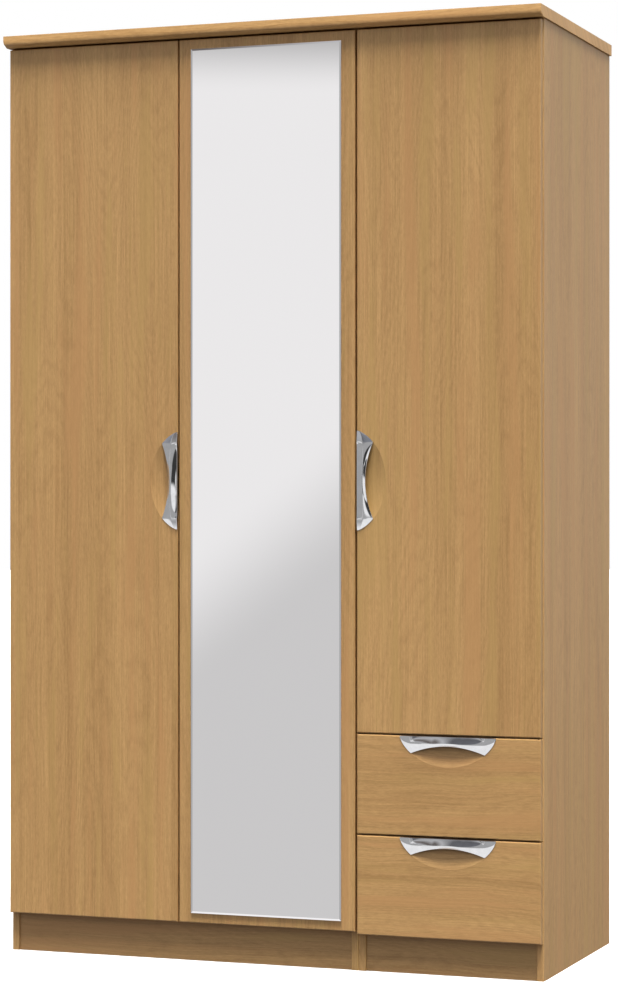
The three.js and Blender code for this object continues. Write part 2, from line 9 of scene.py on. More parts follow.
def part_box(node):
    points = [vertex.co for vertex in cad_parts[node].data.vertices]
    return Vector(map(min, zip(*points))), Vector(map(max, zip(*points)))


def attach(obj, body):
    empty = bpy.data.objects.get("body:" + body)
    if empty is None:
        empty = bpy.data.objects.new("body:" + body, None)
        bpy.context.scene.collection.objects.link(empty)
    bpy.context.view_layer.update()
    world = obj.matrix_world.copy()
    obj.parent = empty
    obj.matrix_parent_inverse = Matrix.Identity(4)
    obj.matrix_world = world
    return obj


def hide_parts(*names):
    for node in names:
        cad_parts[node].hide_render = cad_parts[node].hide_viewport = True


bl_info = {
    "name": "Wardrobe with Doors",
    "version": (1, 0, 0),
    "blender": (4, 5, 0),
    "location": "View3D > Sidebar > Wardrobe",
    "description": "Builds the finished boards, mirror, pulls and fittings of a three-module wardrobe",
    "category": "Object",
}

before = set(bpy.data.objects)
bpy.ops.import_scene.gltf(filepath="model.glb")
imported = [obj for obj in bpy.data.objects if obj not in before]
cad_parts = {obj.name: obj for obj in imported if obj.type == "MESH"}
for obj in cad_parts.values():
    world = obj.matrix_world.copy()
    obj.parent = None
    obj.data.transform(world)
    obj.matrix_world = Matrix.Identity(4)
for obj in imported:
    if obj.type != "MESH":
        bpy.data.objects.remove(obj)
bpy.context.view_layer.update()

MM = 0.001


def mm(*values):
    """Millimetres as a tuple in metres."""
    return tuple(value * MM for value in values)


# ---- sizes that come from the frame

FACE_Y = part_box("left_door_panel")[0].y
DOOR_BACK_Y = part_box("left_door_panel")[1].y
CASE_FRONT_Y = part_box("double_base")[0].y
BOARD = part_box("double_left_side")[1].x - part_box("double_left_side")[0].x
UNITS = ("double", "single")
DOORS = ("left_door", "mirror_door", "right_door")
DRAWERS = ("upper_drawer", "lower_drawer")

# ---- sizes of the finer details

TOUCH = 0.1 * MM
BOARD_SMOOTHING, FRONT_SMOOTHING, METAL_SMOOTHING, PULL_SMOOTHING = 20.0, 11.3, 30.0, 35.0
UNDERCUT, TOP_BAND, TOP_LIP_RADIUS, TOP_EDGE_RADIUS = mm(16, 14.5, 5.5, 1.0)
MIRROR_BEVEL, MIRROR_BEVEL_DROP = mm(3.5, 0.18)
GROOVE_SLACK = 0.2 * MM

SCOOP_RADII = Vector((133.7, 103.4, 28.5)) * MM
SCOOP_OFFSET = 19 * MM
PULL_FIT = 0.4 * MM
PULL_END_HEIGHT, PULL_FACET, PULL_LIP, PULL_LIP_RISE = mm(1.5, 6.2, 0.9, 2.6)
PULL_CORNER, PULL_LIP_ROUND, PULL_LIP_THICKNESS, PULL_UNDER_ROUND, PULL_FLOAT = mm(0.9, 0.35, 1.0, 0.2, 0.15)
PULL_STATIONS, PULL_OUTER_STEPS, PULL_UNDER_STEPS, PULL_ROUND_STEPS = 96, 26, 12, 4

SCREW_RADIUS, SCREW_LENGTH, SCREW_SINK = mm(3.4, 1.6, 0.3)
SCREW_CROSS = mm(0.8, 3.8)
BORE_RADIUS, CUP_RADIUS, FLANGE_RADIUS, CUP_DEPTH, CUP_WALL = mm(17.5, 17.25, 18.75, 11, 2.5)
WING_X, WING_Y, WING_THICKNESS, WING_CORNER, WING_HOLE, WING_SCREW = mm(7, 29, 1, 5, 17, 23.5)
CUP_PIN_RADIUS, CUP_PIN_LENGTH, CUP_PIN_SINK = mm(1.3, 32.6, 3.5)
CUP_PIN_PLACES = mm(-5, 4)
PLATE_LOW, PLATE_HIGH, PLATE_CORNER = mm(0, 30, -26), mm(3, 60, 26), 6 * MM
ARM_OUTLINE = (
    *((5, 78), (10, 78), (15, 62), (15, 12), (11, 1)),
    *((4, 1), (5, 28), (2, 34), (2, 56), (5, 62)),
)
ARM_HALF = 6 * MM
ARM_CHANNEL = mm(0, 6, -4.8), mm(13.6, 29, 4.8)
ARM_SLOTS = mm(40, 3.4), mm(54, 2.8)
ARM_SLOT_X, ARM_SLOT_DEPTH = mm(14, 4)
ARM_SCREWS = mm(45, 20, 3), mm(45, -20, 3), mm(40, 0, 12.6), mm(54, 0, 12.6)

TUBE_HALF = mm(7.5, 15)
SOCKET_STEPS = {"socket_plate": mm(3, 11.5, 19), "socket_collar": mm(10, 9.2, 16.8)}

STRIP = 1.25
STRIP_ROUND = 0.4 * MM
RUNNER_OUTLINE = (
    *((-9, -STRIP), (STRIP, -STRIP), (STRIP, 25 - STRIP), (10.5, 25 - STRIP)),
    *((10.5, 25), (0, 25), (0, 0), (-9, 0)),
)
CHANNEL_OUTLINE = (
    *((0, -1), (9.5, -1), (9.5, STRIP - 1), (STRIP, STRIP - 1)),
    *((STRIP, 20), (9.5, 20), (9.5, 20 + STRIP), (0, 20 + STRIP)),
)
WEB_OUTLINE = ((0, -1), (STRIP, -1), (STRIP, 20 + STRIP), (0, 20 + STRIP))
RUNNER_START, CHANNEL_START, WEB_LENGTH = mm(2, 28, 40)
RUNNER_SCREWS, RUNNER_SCREW_HEIGHT = mm(60, 210, 360), 14 * MM
TRACK_SCREWS, TRACK_SCREW_HEIGHT = mm(33, 180, 330, 430), 10 * MM
REAR_ROLLER = mm(14, 10, 8.5)
FRONT_ROLLER = mm(13, 13.25, 10)
WHEEL_OFFSET, WHEEL_WIDTH, AXLE_RADIUS, AXLE_LENGTH = mm(6.2, 6, 2.6, 10)

PIN_RADIUS, PIN_LENGTH, PIN_INSET, PIN_SPACING = mm(2.2, 0.8, 7, 150)
CAP_RADIUS, CAP_LENGTH, CAP_LIFT, CAP_FROM_SIDE, CAP_FROM_END = mm(8, 0.9, 0.2, 34, 60)
BOLT_RADIUS, BOLT_LENGTH, BOLT_LIFT, BOLT_INSET = mm(7, 2, 0.6, 50)
BOLT_SOCKET_RADIUS, BOLT_SOCKET_DEPTH, BOLT_SOCKET_LIFT = mm(2.2, 2.4, 1.6)
BOLT_HEIGHTS = mm(140, 1450)
BUFFER_RADIUS, BUFFER_LENGTH, BUFFER_LIFT, BUFFER_FROM_SIDE, BUFFER_FROM_END = mm(4, 1.2, 0.5, 7, 30)

FLOOR_RADIUS, REFLECTION_RADIUS, BACKDROP_RADIUS = 30, 80, 90
LIGHT_AZIMUTH, LIGHT_SPREAD = math.radians(30), math.radians(24)
CAMERA_PLACE, CAMERA_AZIMUTH, CAMERA_SHIFT = (1.9926, -5.383, 0.907), math.radians(20.34), 0.0035
SENSOR_WIDTH = 36
DARK_CARD = 0.045
CEILING_STRIPES = (
    (0.0, (0.40, 0.40, 0.42, 1)),
    (0.12, (0.38, 0.38, 0.40, 1)),
    (0.22, (0.24, 0.25, 0.28, 1)),
    (0.285, (0.60, 0.60, 0.62, 1)),
    (0.31, (0.12, 0.10, 0.09, 1)),
    (0.335, (0.55, 0.55, 0.56, 1)),
    (0.37, (0.13, 0.13, 0.14, 1)),
    (0.50, (0.24, 0.25, 0.28, 1)),
    (1.0, (0.30, 0.30, 0.32, 1)),
)

# ---- settings a user would change


class BoardSettings(bpy.types.PropertyGroup):
    """Sizes of the board edges."""

    door_edge: bpy.props.FloatProperty(
        name="Door edge radius", default=2.6 * MM, unit="LENGTH",
        description="Radius of the wrapped front edges of doors and drawer fronts",
    )
    side_edge: bpy.props.FloatProperty(
        name="Side edge radius", default=2.5 * MM, unit="LENGTH",
        description="Radius of the side panels' front edges",
    )
    arris: bpy.props.FloatProperty(
        name="Arris", default=0.4 * MM, unit="LENGTH",
        description="Small round on every other board edge",
    )


class PullSettings(bpy.types.PropertyGroup):
    """Form of the chrome edge pull."""

    half_length: bpy.props.FloatProperty(
        name="Half length", default=95 * MM, unit="LENGTH",
        description="Half of the pull's length along the board's edge",
    )
    tip: bpy.props.FloatProperty(
        name="Tip distance", default=73 * MM, unit="LENGTH",
        description="How far from the middle the arch meets the recess's outline",
    )
    waist: bpy.props.FloatProperty(
        name="Waist", default=18.3 * MM, unit="LENGTH",
        description="Width of the pull at its middle",
    )
    crest_reach: bpy.props.FloatProperty(
        name="Crest distance", default=14.2 * MM, unit="LENGTH",
        description="Distance of the crest from the board's edge",
    )
    crest_height: bpy.props.FloatProperty(
        name="Crest height", default=7.8 * MM, unit="LENGTH",
        description="Height of the crest over the board's face at the middle",
    )
    skin: bpy.props.FloatProperty(
        name="Skin", default=2.2 * MM, unit="LENGTH",
        description="Thickness of the cast metal",
    )


class OakSettings(bpy.types.PropertyGroup):
    """Colours of the oak-effect laminate, scene linear."""

    pale: bpy.props.FloatVectorProperty(
        name="Pale", description="Pale early wood",
        subtype="COLOR", default=(0.585, 0.345, 0.136),
    )
    dark: bpy.props.FloatVectorProperty(
        name="Dark", description="Darker late wood",
        subtype="COLOR", default=(0.372, 0.202, 0.070),
    )
    warm: bpy.props.FloatVectorProperty(
        name="Warm", description="Orange cast of some stripes",
        subtype="COLOR", default=(0.510, 0.268, 0.103),
    )
    olive: bpy.props.FloatVectorProperty(
        name="Olive", description="Green cast of other stripes",
        subtype="COLOR", default=(0.480, 0.296, 0.099),
    )


class StudioSettings(bpy.types.PropertyGroup):
    """Camera, floor and lights."""

    lens: bpy.props.FloatProperty(
        name="Lens", default=104.0, unit="CAMERA",
        description="Focal length on a 36 mm frame",
    )
    floor: bpy.props.FloatProperty(
        name="Floor tone", default=0.86, min=0.0, max=1.0,
        description="Grey level of the floor",
    )
    key_strength: bpy.props.FloatProperty(
        name="Key strength", default=7.1, min=0.0,
        description="Strength of the high soft light from the front",
    )
    key_height: bpy.props.FloatProperty(
        name="Key height", subtype="ANGLE", default=math.radians(75.5),
        description="Angle of the high soft light above the floor",
    )
    top_strength: bpy.props.FloatProperty(
        name="Top board strength", default=3.6, min=0.0,
        description="Strength of the lower soft light that the top board gets instead",
    )
    top_height: bpy.props.FloatProperty(
        name="Top board height", subtype="ANGLE", default=math.radians(20),
        description="Angle of the top board's soft light above the floor",
    )


# ---- shader maths


def maths(operation, turned=False):
    """An operator method that adds a Math node. turned is for the number on the left."""

    def work(self, other):
        pair = [other, self] if turned else [self, other]
        return self.graph.add("ShaderNodeMath", {"operation": operation}, pair)

    return work


class Socket:
    """A node's output socket. Arithmetic on number sockets adds Math nodes."""

    def __init__(self, graph, socket):
        self.graph = graph
        self.socket = socket

    __add__ = maths("ADD")
    __sub__ = maths("SUBTRACT")
    __rsub__ = maths("SUBTRACT", turned=True)
    __mul__ = maths("MULTIPLY")
    __rmul__ = maths("MULTIPLY", turned=True)
    __pow__ = maths("POWER")


class Graph:
    """The node tree of one material, or of the world."""

    def __init__(self, name, library=None, shader="Principled BSDF"):
        library = bpy.data.materials if library is None else library
        self.material = library.new(name)
        self.material.use_nodes = True
        self.tree = self.material.node_tree
        self.shader = self.tree.nodes[shader]

    def add(self, kind, node_settings=None, inputs=(), output=0):
        node = self.tree.nodes.new(kind)
        for key, value in (node_settings or {}).items():
            setattr(node, key, value)
        pairs = inputs.items() if isinstance(inputs, dict) else enumerate(inputs)
        for key, value in pairs:
            self.feed(node.inputs[key], value)
        return Socket(self, node.outputs[output])

    def feed(self, target, value):
        if isinstance(value, Socket):
            self.tree.links.new(value.socket, target)
        else:
            target.default_value = value

    def ramp(self, value, stops):
        """Turns a number into a colour, by stops of a position and a colour."""
        colour = self.add("ShaderNodeValToRGB", None, [value])
        elements = colour.socket.node.color_ramp.elements
        elements.remove(elements[-1])
        elements[0].position, elements[0].color = stops[0]
        for position, tone in stops[1:]:
            elements.new(position).color = tone
        return colour

    def place(self):
        """Where a point is in its object."""
        return self.add("ShaderNodeTexCoord", output="Object")

    def parts(self, vector):
        """A vector's X, Y and Z as number sockets."""
        node = self.add("ShaderNodeSeparateXYZ", None, [vector]).socket.node
        return [Socket(self, output) for output in node.outputs]

    def vector(self, x, y, z):
        return self.add("ShaderNodeCombineXYZ", None, [x, y, z])

    def noise(self, place, scale=1.0, detail=2.0, roughness=0.5):
        inputs = {"Vector": place, "Scale": scale, "Detail": detail, "Roughness": roughness}
        return self.add("ShaderNodeTexNoise", None, inputs)

    def spread(self, value, low, high, to_low=0.0, to_high=1.0):
        """Maps low..high of a number to to_low..to_high with soft ends."""
        how = {"interpolation_type": "SMOOTHSTEP"}
        return self.add("ShaderNodeMapRange", how, [value, low, high, to_low, to_high])

    def mix(self, factor, first, second, blend="MIX"):
        """Mixes two colours. Inputs 6 and 7 of a Mix node are its colours, and output 2 its colour."""
        how = {"data_type": "RGBA", "blend_type": blend}
        return self.add("ShaderNodeMix", how, {0: factor, 6: rgba(first), 7: rgba(second)}, output=2)

    def wave(self, turns):
        """A soft 0 to 1 wave that repeats once for each whole number."""
        return self.add("ShaderNodeMath", {"operation": "SINE"}, [turns * math.tau]) * 0.5 + 0.5

    def bump(self, height, strength, distance):
        inputs = {"Height": height, "Strength": strength, "Distance": distance}
        return self.add("ShaderNodeBump", None, inputs, output="Normal")

    def finish(self, **values):
        for key, value in values.items():
            self.feed(self.shader.inputs[key.replace("_", " ")], value)
        return self.material


def rgba(colour):
    if isinstance(colour, Socket):
        return colour
    return (*colour[:3], 1.0)


def shaded(tint, share):
    """A darker version of a colour."""
    return tuple(share * channel for channel in tint)


# ---- materials

_made = {}


def finish_of(key, maker, *args):
    """Makes a material once and hands the same one out again."""
    if key not in _made:
        _made[key] = maker(key, *args)
    return _made[key]


GRAIN_AXES = {"up": (2, 0, 1), "level": (0, 2, 1), "run": (1, 2, 0)}


def oak_laminate(name, grain, shift, tint=(1.0, 1.0, 1.0), contrast=1.0):
    """Oak-effect laminate. Grain runs up (Z), level (X) or back (Y); shift picks another stretch of it."""
    tones = bpy.context.scene.wardrobe_oak
    g = Graph(name)
    parts = g.parts(g.place())
    along, first, second = (parts[index] for index in GRAIN_AXES[grain])
    along, across = along + shift * 3.7, first + second + shift * 1.9
    wander, roll = (0.008, 1.6) if grain == "up" else (0.034, 2.6)
    drift = g.noise(g.vector(across * 3.0, along * roll, shift), detail=3.0) - 0.5
    line = across + drift * wander

    def layer(fine, long, seed, detail=1.0, roughness=0.5):
        """Noise that changes so many times a metre across and along the grain."""
        return g.noise(g.vector(line * fine, along * long, shift + seed), detail=detail, roughness=roughness)

    figure = layer(8.0, 1.1, 3.0, 1.6, 0.45)
    ripple = layer(90.0, 8.0, 0.0)
    rings = g.wave(figure * 30.0 + ripple * 0.9) ** 2.5
    bands = layer(19.0, 0.40, 7.0, 3.0, 0.55)
    streaks = layer(170.0, 0.9, 11.0, 3.0, 0.75)
    hairs = layer(660.0, 4.0, 13.0, 2.0, 0.7)
    flecks = layer(430.0, 70.0, 17.0, 2.0, 0.75)
    cast = layer(26.0, 1.3, 31.0, 3.0, 0.6)
    pores = layer(820.0, 26.0, 41.0)

    tone = bands * 0.90 + streaks * 0.75 + hairs * 0.90 + flecks * 0.80 - rings * 0.12 - 1.64
    wood = g.mix(tone * (1.5 * contrast) + 0.5, tones.dark, tones.pale)
    wood = g.mix(g.spread(cast, 0.50, 0.66, 0.0, 0.60), wood, tones.warm)
    wood = g.mix(g.spread(cast, 0.48, 0.34, 0.0, 0.55), wood, tones.olive)
    pits = g.spread(pores, 0.66, 0.76)
    wood = g.mix(pits * 0.45, wood, tones.dark)
    # For the plinths, tint is painted shade that darkens the wood as if shaded under the doors.
    return g.finish(
        Base_Color=g.mix(1.0, wood, tint, blend="MULTIPLY"),
        Roughness=g.spread(streaks, 0.2, 0.8, 0.40, 0.52),
        Normal=g.bump(hairs * 0.4 - pits * 0.6, 0.12, 0.2 * MM),
    )


def hardboard(name, tint):
    """Pressed fibre board: a dense, slightly hairy brown sheet."""
    g = Graph(name)
    fibres = g.noise(g.place(), scale=900.0, detail=3.0, roughness=0.7)
    clouds = g.noise(g.place(), scale=9.0)
    return g.finish(
        Base_Color=g.mix(g.spread(fibres * 0.6 + clouds * 0.4, 0.35, 0.65), shaded(tint, 0.72), tint),
        Roughness=g.spread(fibres, 0.3, 0.7, 0.70, 0.86),
        Normal=g.bump(fibres, 0.25, 0.3 * MM),
    )


def chipboard(name, dark, pale):
    """The raw cut edge of a board: pressed chips of mixed browns."""
    g = Graph(name)
    chips = g.noise(g.place(), scale=330.0, roughness=0.7)
    dust = g.noise(g.place(), scale=1400.0, detail=1.0)
    return g.finish(
        Base_Color=g.mix(g.spread(chips * 0.7 + dust * 0.3, 0.34, 0.66), dark, pale),
        Roughness=g.spread(dust, 0.3, 0.7, 0.78, 0.92),
        Normal=g.bump(chips, 0.35, 0.4 * MM),
    )


def metal(name, tint, rough_low, rough_high, brush=(60.0, 60.0, 60.0)):
    """Plated metal with a faint uneven polish."""
    g = Graph(name)
    place = g.add("ShaderNodeVectorMath", {"operation": "MULTIPLY"}, [g.place(), brush])
    wear = g.noise(place, detail=3.0, roughness=0.6)
    return g.finish(
        Base_Color=g.mix(g.spread(wear, 0.3, 0.7), shaded(tint, 0.93), tint),
        Metallic=1.0,
        Roughness=g.spread(wear, 0.25, 0.75, rough_low, rough_high),
    )


def coated(name, tint, rough):
    """Paint, epoxy or moulded plastic with a fine orange-peel surface."""
    g = Graph(name)
    peel = g.noise(g.place(), scale=420.0)
    clouds = g.noise(g.place(), scale=14.0)
    return g.finish(
        Base_Color=g.mix(g.spread(clouds, 0.3, 0.7), shaded(tint, 0.9), tint),
        Roughness=g.spread(peel, 0.3, 0.7, rough - 0.05, rough + 0.05),
        Normal=g.bump(peel, 0.08, 0.2 * MM),
    )


def silvered(name, dark, pale):
    """Mirror glass, with the faintest unevenness of its silvering."""
    g = Graph(name)
    haze = g.noise(g.place(), scale=3.0, detail=1.0)
    return g.finish(
        Base_Color=g.mix(haze, dark, pale),
        Metallic=1.0,
        Roughness=g.spread(haze, 0.2, 0.8, 0.0, 0.012),
    )


STOCK = {
    "polished_chrome": (metal, (0.80, 0.80, 0.815), 0.03, 0.07),
    "plated_tube": (metal, (0.78, 0.78, 0.79), 0.12, 0.20, (40.0, 400.0, 400.0)),
    "pressed_steel": (metal, (0.70, 0.70, 0.71), 0.24, 0.36, (300.0, 40.0, 300.0)),
    "zinc_screw": (metal, (0.66, 0.65, 0.62), 0.28, 0.42),
    "runner_epoxy": (coated, (0.80, 0.79, 0.755), 0.42),
    "nylon": (coated, (0.70, 0.70, 0.68), 0.38),
    "brown_cap": (coated, (0.36, 0.22, 0.10), 0.45),
    "raw_edge": (chipboard, (0.30, 0.19, 0.095), (0.62, 0.46, 0.28)),
    "back_raw": (hardboard, (0.30, 0.185, 0.098)),
    "silvered_glass": (silvered, (0.900, 0.885, 0.892), (0.910, 0.895, 0.902)),
}
INSIDE_TINT, INSIDE_CONTRAST = (1.12, 1.14, 1.2), 0.6
# Painted shade: darkens the plinths' oak as if shaded under the doors' bottoms.
PLINTH_PAINTED_SHADE = (0.80, 0.80, 0.82)


def stock(name):
    return finish_of(name, *STOCK[name])


def oak(grain, shift):
    return finish_of(f"oak_{grain}_{shift:g}", oak_laminate, grain, shift)


def oak_inside(grain, shift):
    name = f"oak_inside_{grain}_{shift:g}"
    return finish_of(name, oak_laminate, grain, shift, INSIDE_TINT, INSIDE_CONTRAST)


# ---- modelling helpers


def deselect():
    bpy.ops.object.select_all(action="DESELECT")


def enter():
    """Goes into edit mode with everything selected."""
    bpy.ops.object.mode_set(mode="EDIT")
    bpy.ops.mesh.select_all(action="SELECT")


def leave():
    bpy.ops.object.mode_set(mode="OBJECT")


def only(piece):
    """Selects one object and nothing else."""
    deselect()
    piece.select_set(True)
    bpy.context.view_layer.objects.active = piece


def settled(name, piece=None):
    """Names the active object and bakes its place into its mesh."""
    piece = piece or bpy.context.active_object
    only(piece)
    piece.name = name
    piece.data.name = name
    bpy.ops.object.transform_apply(location=True, rotation=True, scale=True)
    return piece


def block(name, low, high):
    """A box between two corners, to be shaped further."""
    deselect()
    middle = [(a + b) / 2 for a, b in zip(low, high)]
    size = [b - a for a, b in zip(low, high)]
    bpy.ops.mesh.primitive_cube_add(size=1, location=middle, scale=size)
    return settled(name)


def rod(name, centre, radius, length, axis, vertices=48):
    """A round bar along X, Y or Z."""
    deselect()
    turn = {"x": (0, math.pi / 2, 0), "y": (math.pi / 2, 0, 0), "z": (0, 0, 0)}[axis]
    bpy.ops.mesh.primitive_cylinder_add(
        vertices=vertices, radius=radius, depth=length, location=centre, rotation=turn
    )
    return settled(name)


def ball(name, segments, rings, radius=1):
    deselect()
    bpy.ops.mesh.primitive_uv_sphere_add(segments=segments, ring_count=rings, radius=radius)
    return settled(name)


def prism(name, outline, low, high, axis):
    """An outline in millimetres, extruded across its plane: (x, z) along Y, or (x, y) along Z."""
    deselect()
    bpy.ops.mesh.primitive_circle_add(vertices=len(outline), radius=1, fill_type="NGON")
    piece = bpy.context.active_object
    for vertex, point in zip(piece.data.vertices, outline):
        first, second = mm(*point)
        vertex.co = (first, low, second) if axis == "y" else (first, second, low)
    way = (0, high - low, 0) if axis == "y" else (0, 0, high - low)
    enter()
    bpy.ops.mesh.extrude_region_move(TRANSFORM_OT_translate={"value": way})
    bpy.ops.mesh.select_all(action="SELECT")
    bpy.ops.mesh.normals_make_consistent(inside=False)
    leave()
    return settled(name, piece)


def stamp(pattern, name, where):
    """A copy of a pattern piece, with its own mesh, put where it is wanted."""
    piece = pattern.copy()
    piece.data = pattern.data.copy()
    bpy.context.scene.collection.objects.link(piece)
    piece.data.transform(where)
    if where.to_3x3().determinant() < 0:
        piece.data.flip_normals()
    piece.name = name
    piece.data.name = name
    return piece


def scrap(*pieces):
    for piece in pieces:
        bpy.data.objects.remove(piece, do_unlink=True)


def frame_at(origin, x, y, z):
    """The matrix of a frame with the given origin and axes."""
    return Matrix.Translation(origin) @ Matrix((x, y, z)).transposed().to_4x4()


def facing(point, out, up=(0, 0, 1)):
    """A frame at a point whose Z looks along out."""
    z = Vector(out).normalized()
    x = Vector(up).cross(z).normalized()
    return frame_at(point, x, z.cross(x), z)


def apply_modifier(piece, kind, **values):
    only(piece)
    modifier = piece.modifiers.new(kind.title(), kind)
    for key, value in values.items():
        setattr(modifier, key, value)
    bpy.ops.object.modifier_apply(modifier=modifier.name)


def pick(piece, kind, chosen):
    """Goes into edit mode with only the corners, edges or faces that pass a test selected."""
    only(piece)
    bpy.ops.object.mode_set(mode="EDIT")
    bpy.ops.mesh.select_mode(type=kind)
    bpy.ops.mesh.select_all(action="DESELECT")
    leave()
    mesh = piece.data
    if kind == "VERT":
        for vertex in mesh.vertices:
            vertex.select = chosen(vertex.co)
    elif kind == "EDGE":
        for edge in mesh.edges:
            first, second = edge.vertices
            edge.select = chosen(mesh.vertices[first].co, mesh.vertices[second].co)
    else:
        for face in mesh.polygons:
            face.select = chosen(face)
    bpy.ops.object.mode_set(mode="EDIT")


def nudge(piece, chosen, way):
    """Moves the corners that pass a test."""
    pick(piece, "VERT", chosen)
    bpy.ops.transform.translate(value=way)
    leave()


def grow(way):
    """In edit mode, extrudes what is selected."""
    bpy.ops.mesh.extrude_region_move(TRANSFORM_OT_translate={"value": way})


def round_edges(piece, radius, segments, chosen):
    """Bevels the edges whose two ends pass a test."""
    pick(piece, "EDGE", chosen)
    bpy.ops.mesh.bevel(offset=radius, segments=segments, profile=0.5, affect="EDGES", clamp_overlap=True)
    leave()


def round_small_edges(piece, radius):
    """A small round on the edges that are still square."""
    limits = {"limit_method": "ANGLE", "angle_limit": math.radians(60)}
    apply_modifier(piece, "BEVEL", width=radius, segments=2, **limits)


def smooth(piece, angle):
    only(piece)
    bpy.ops.object.shade_smooth_by_angle(angle=math.radians(angle))


def soften(piece, angle):
    """Smooth shading up to an angle, with flat faces kept flat."""
    smooth(piece, angle)
    apply_modifier(piece, "WEIGHTED_NORMAL", keep_sharp=True, weight=100)


def finished(piece, radius, material):
    """Rounds and smooths a small fitting and gives it its material."""
    round_small_edges(piece, radius)
    soften(piece, METAL_SMOOTHING)
    return clad(piece, stock(material))


def carve(piece, cutter):
    """Cuts one solid out of another and throws the cutter away."""
    apply_modifier(piece, "BOOLEAN", operation="DIFFERENCE", object=cutter, solver="EXACT")
    scrap(cutter)


def join(name, pieces):
    """Makes one object of several."""
    only(pieces[0])
    for piece in pieces:
        piece.select_set(True)
    bpy.ops.object.join()
    return settled(name, pieces[0])


def clad(piece, material, other=None, test=None):
    """Gives a piece its material, and another material to the faces that pass a test."""
    piece.data.materials.clear()
    piece.data.materials.append(material)
    if test:
        piece.data.materials.append(other)
        for face in piece.data.polygons:
            face.material_index = 1 if test(face) else 0
    return piece


def place(piece, body, slot, *nodes):
    """Hangs a finished piece on its body and hides the frame parts that it stands for."""
    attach(piece, body)
    if nodes:
        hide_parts(*nodes)


def at_front(y):
    """A test for the edges that lie in the plane at y."""
    return lambda a, b: abs(a.y - y) < TOUCH and abs(b.y - y) < TOUCH


def rear_or_foot(face):
    return face.normal.y > 0.9 or face.normal.z < -0.9


def rear(face):
    return face.normal.y > 0.9


def board(node, material, radius=0.0, rounded=None, raw=None):
    """Rebuilds a plain CAD board with softened edges. rounded picks the edges with the larger radius."""
    piece = block(f"{node}_board", *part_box(node))
    if rounded:
        round_edges(piece, radius, 6, rounded)
    round_small_edges(piece, bpy.context.scene.wardrobe_boards.arris)
    soften(piece, BOARD_SMOOTHING)
    return clad(piece, material, stock("raw_edge"), raw)


# ---- pull and recess forms


def scoop_depth(along, inward):
    rest = 1 - (along / SCOOP_RADII.x) ** 2 - ((inward + SCOOP_OFFSET) / SCOOP_RADII.y) ** 2
    return SCOOP_RADII.z * math.sqrt(max(rest, 0.0)) - SCOOP_OFFSET


def scoop_reach(along):
    level = math.sqrt(1 - (SCOOP_OFFSET / SCOOP_RADII.z) ** 2)
    share = along / (SCOOP_RADII.x * level)
    return SCOOP_RADII.y * level * math.sqrt(max(1 - share * share, 0.0)) - SCOOP_OFFSET


def pull_reach(form, along):
    """How far in from the board's edge the pull goes."""
    if abs(along) >= form.tip:
        return scoop_reach(along) - PULL_FIT
    tip_reach = scoop_reach(form.tip) - PULL_FIT
    return form.waist + (tip_reach - form.waist) * (along / form.tip) ** 2


def pull_height(form, along, inward):
    """Height of the pull's upper face over the board's: an edge facet, a crest and a falling scoop side."""
    reach = pull_reach(form, along)
    share = abs(along) / form.half_length
    arch = max(0.0, 1 - (along / form.tip) ** 2)
    top = PULL_END_HEIGHT + (form.crest_height - PULL_END_HEIGHT) * (1 - share * share)
    crest = form.crest_reach * math.sqrt(max(1 - (share * 0.98) ** 6, 0.0))
    crest = min(crest, 0.7 * reach)
    if inward <= crest:
        u = max(inward, 0.0) / crest
        return top - PULL_FACET * arch**0.55 * (1 - (0.4 * u + 0.6 * (1 - (1 - u) ** 2)))
    lip = PULL_LIP + PULL_LIP_RISE * arch
    v = min(1.0, (inward - crest) / (reach - crest))
    return lip + (top - lip) * (1 - v**1.4)


def pull_section(form, along):
    """One closed section of the pull, as (inward, up) pairs from the foot of its edge wall and round."""
    reach = pull_reach(form, along)
    edge, lip = PULL_FIT, PULL_LIP_ROUND
    corner = min(PULL_CORNER, 0.2 * (reach - edge))
    wall = min(form.skin, 0.3 * (reach - edge))
    foot = -max(scoop_depth(along, 0.0) - PULL_FIT, 0.0)
    turns = [math.pi / 2 * step / PULL_ROUND_STEPS for step in range(PULL_ROUND_STEPS + 1)]
    edge_height = pull_height(form, along, edge + corner)
    points = [(edge, foot)]
    for turn in turns:
        points.append((edge + corner * (1 - math.cos(turn)), edge_height - corner * (1 - math.sin(turn))))
    for step in range(1, PULL_OUTER_STEPS + 1):
        inward = edge + corner + (reach - lip - edge - corner) * step / PULL_OUTER_STEPS
        points.append((inward, pull_height(form, along, inward)))
    lip_height = points[-1][1]
    under_lip = max(lip_height - PULL_LIP_THICKNESS, PULL_FLOAT - scoop_depth(along, reach))
    for turn in turns[1:]:
        points.append((reach - lip + lip * math.sin(turn), lip_height - lip * (1 - math.cos(turn))))
    points.append((reach, min(under_lip + PULL_UNDER_ROUND, lip_height - lip)))
    start = reach - PULL_UNDER_ROUND
    points.append((start, under_lip))
    for step in range(1, PULL_UNDER_STEPS + 1):
        inward = start + (edge + wall - start) * step / PULL_UNDER_STEPS
        thin = pull_height(form, along, inward) - form.skin
        points.append((inward, max(thin, PULL_FLOAT - max(scoop_depth(along, inward), 0.0))))
    points.append((edge + wall, foot))
    return points


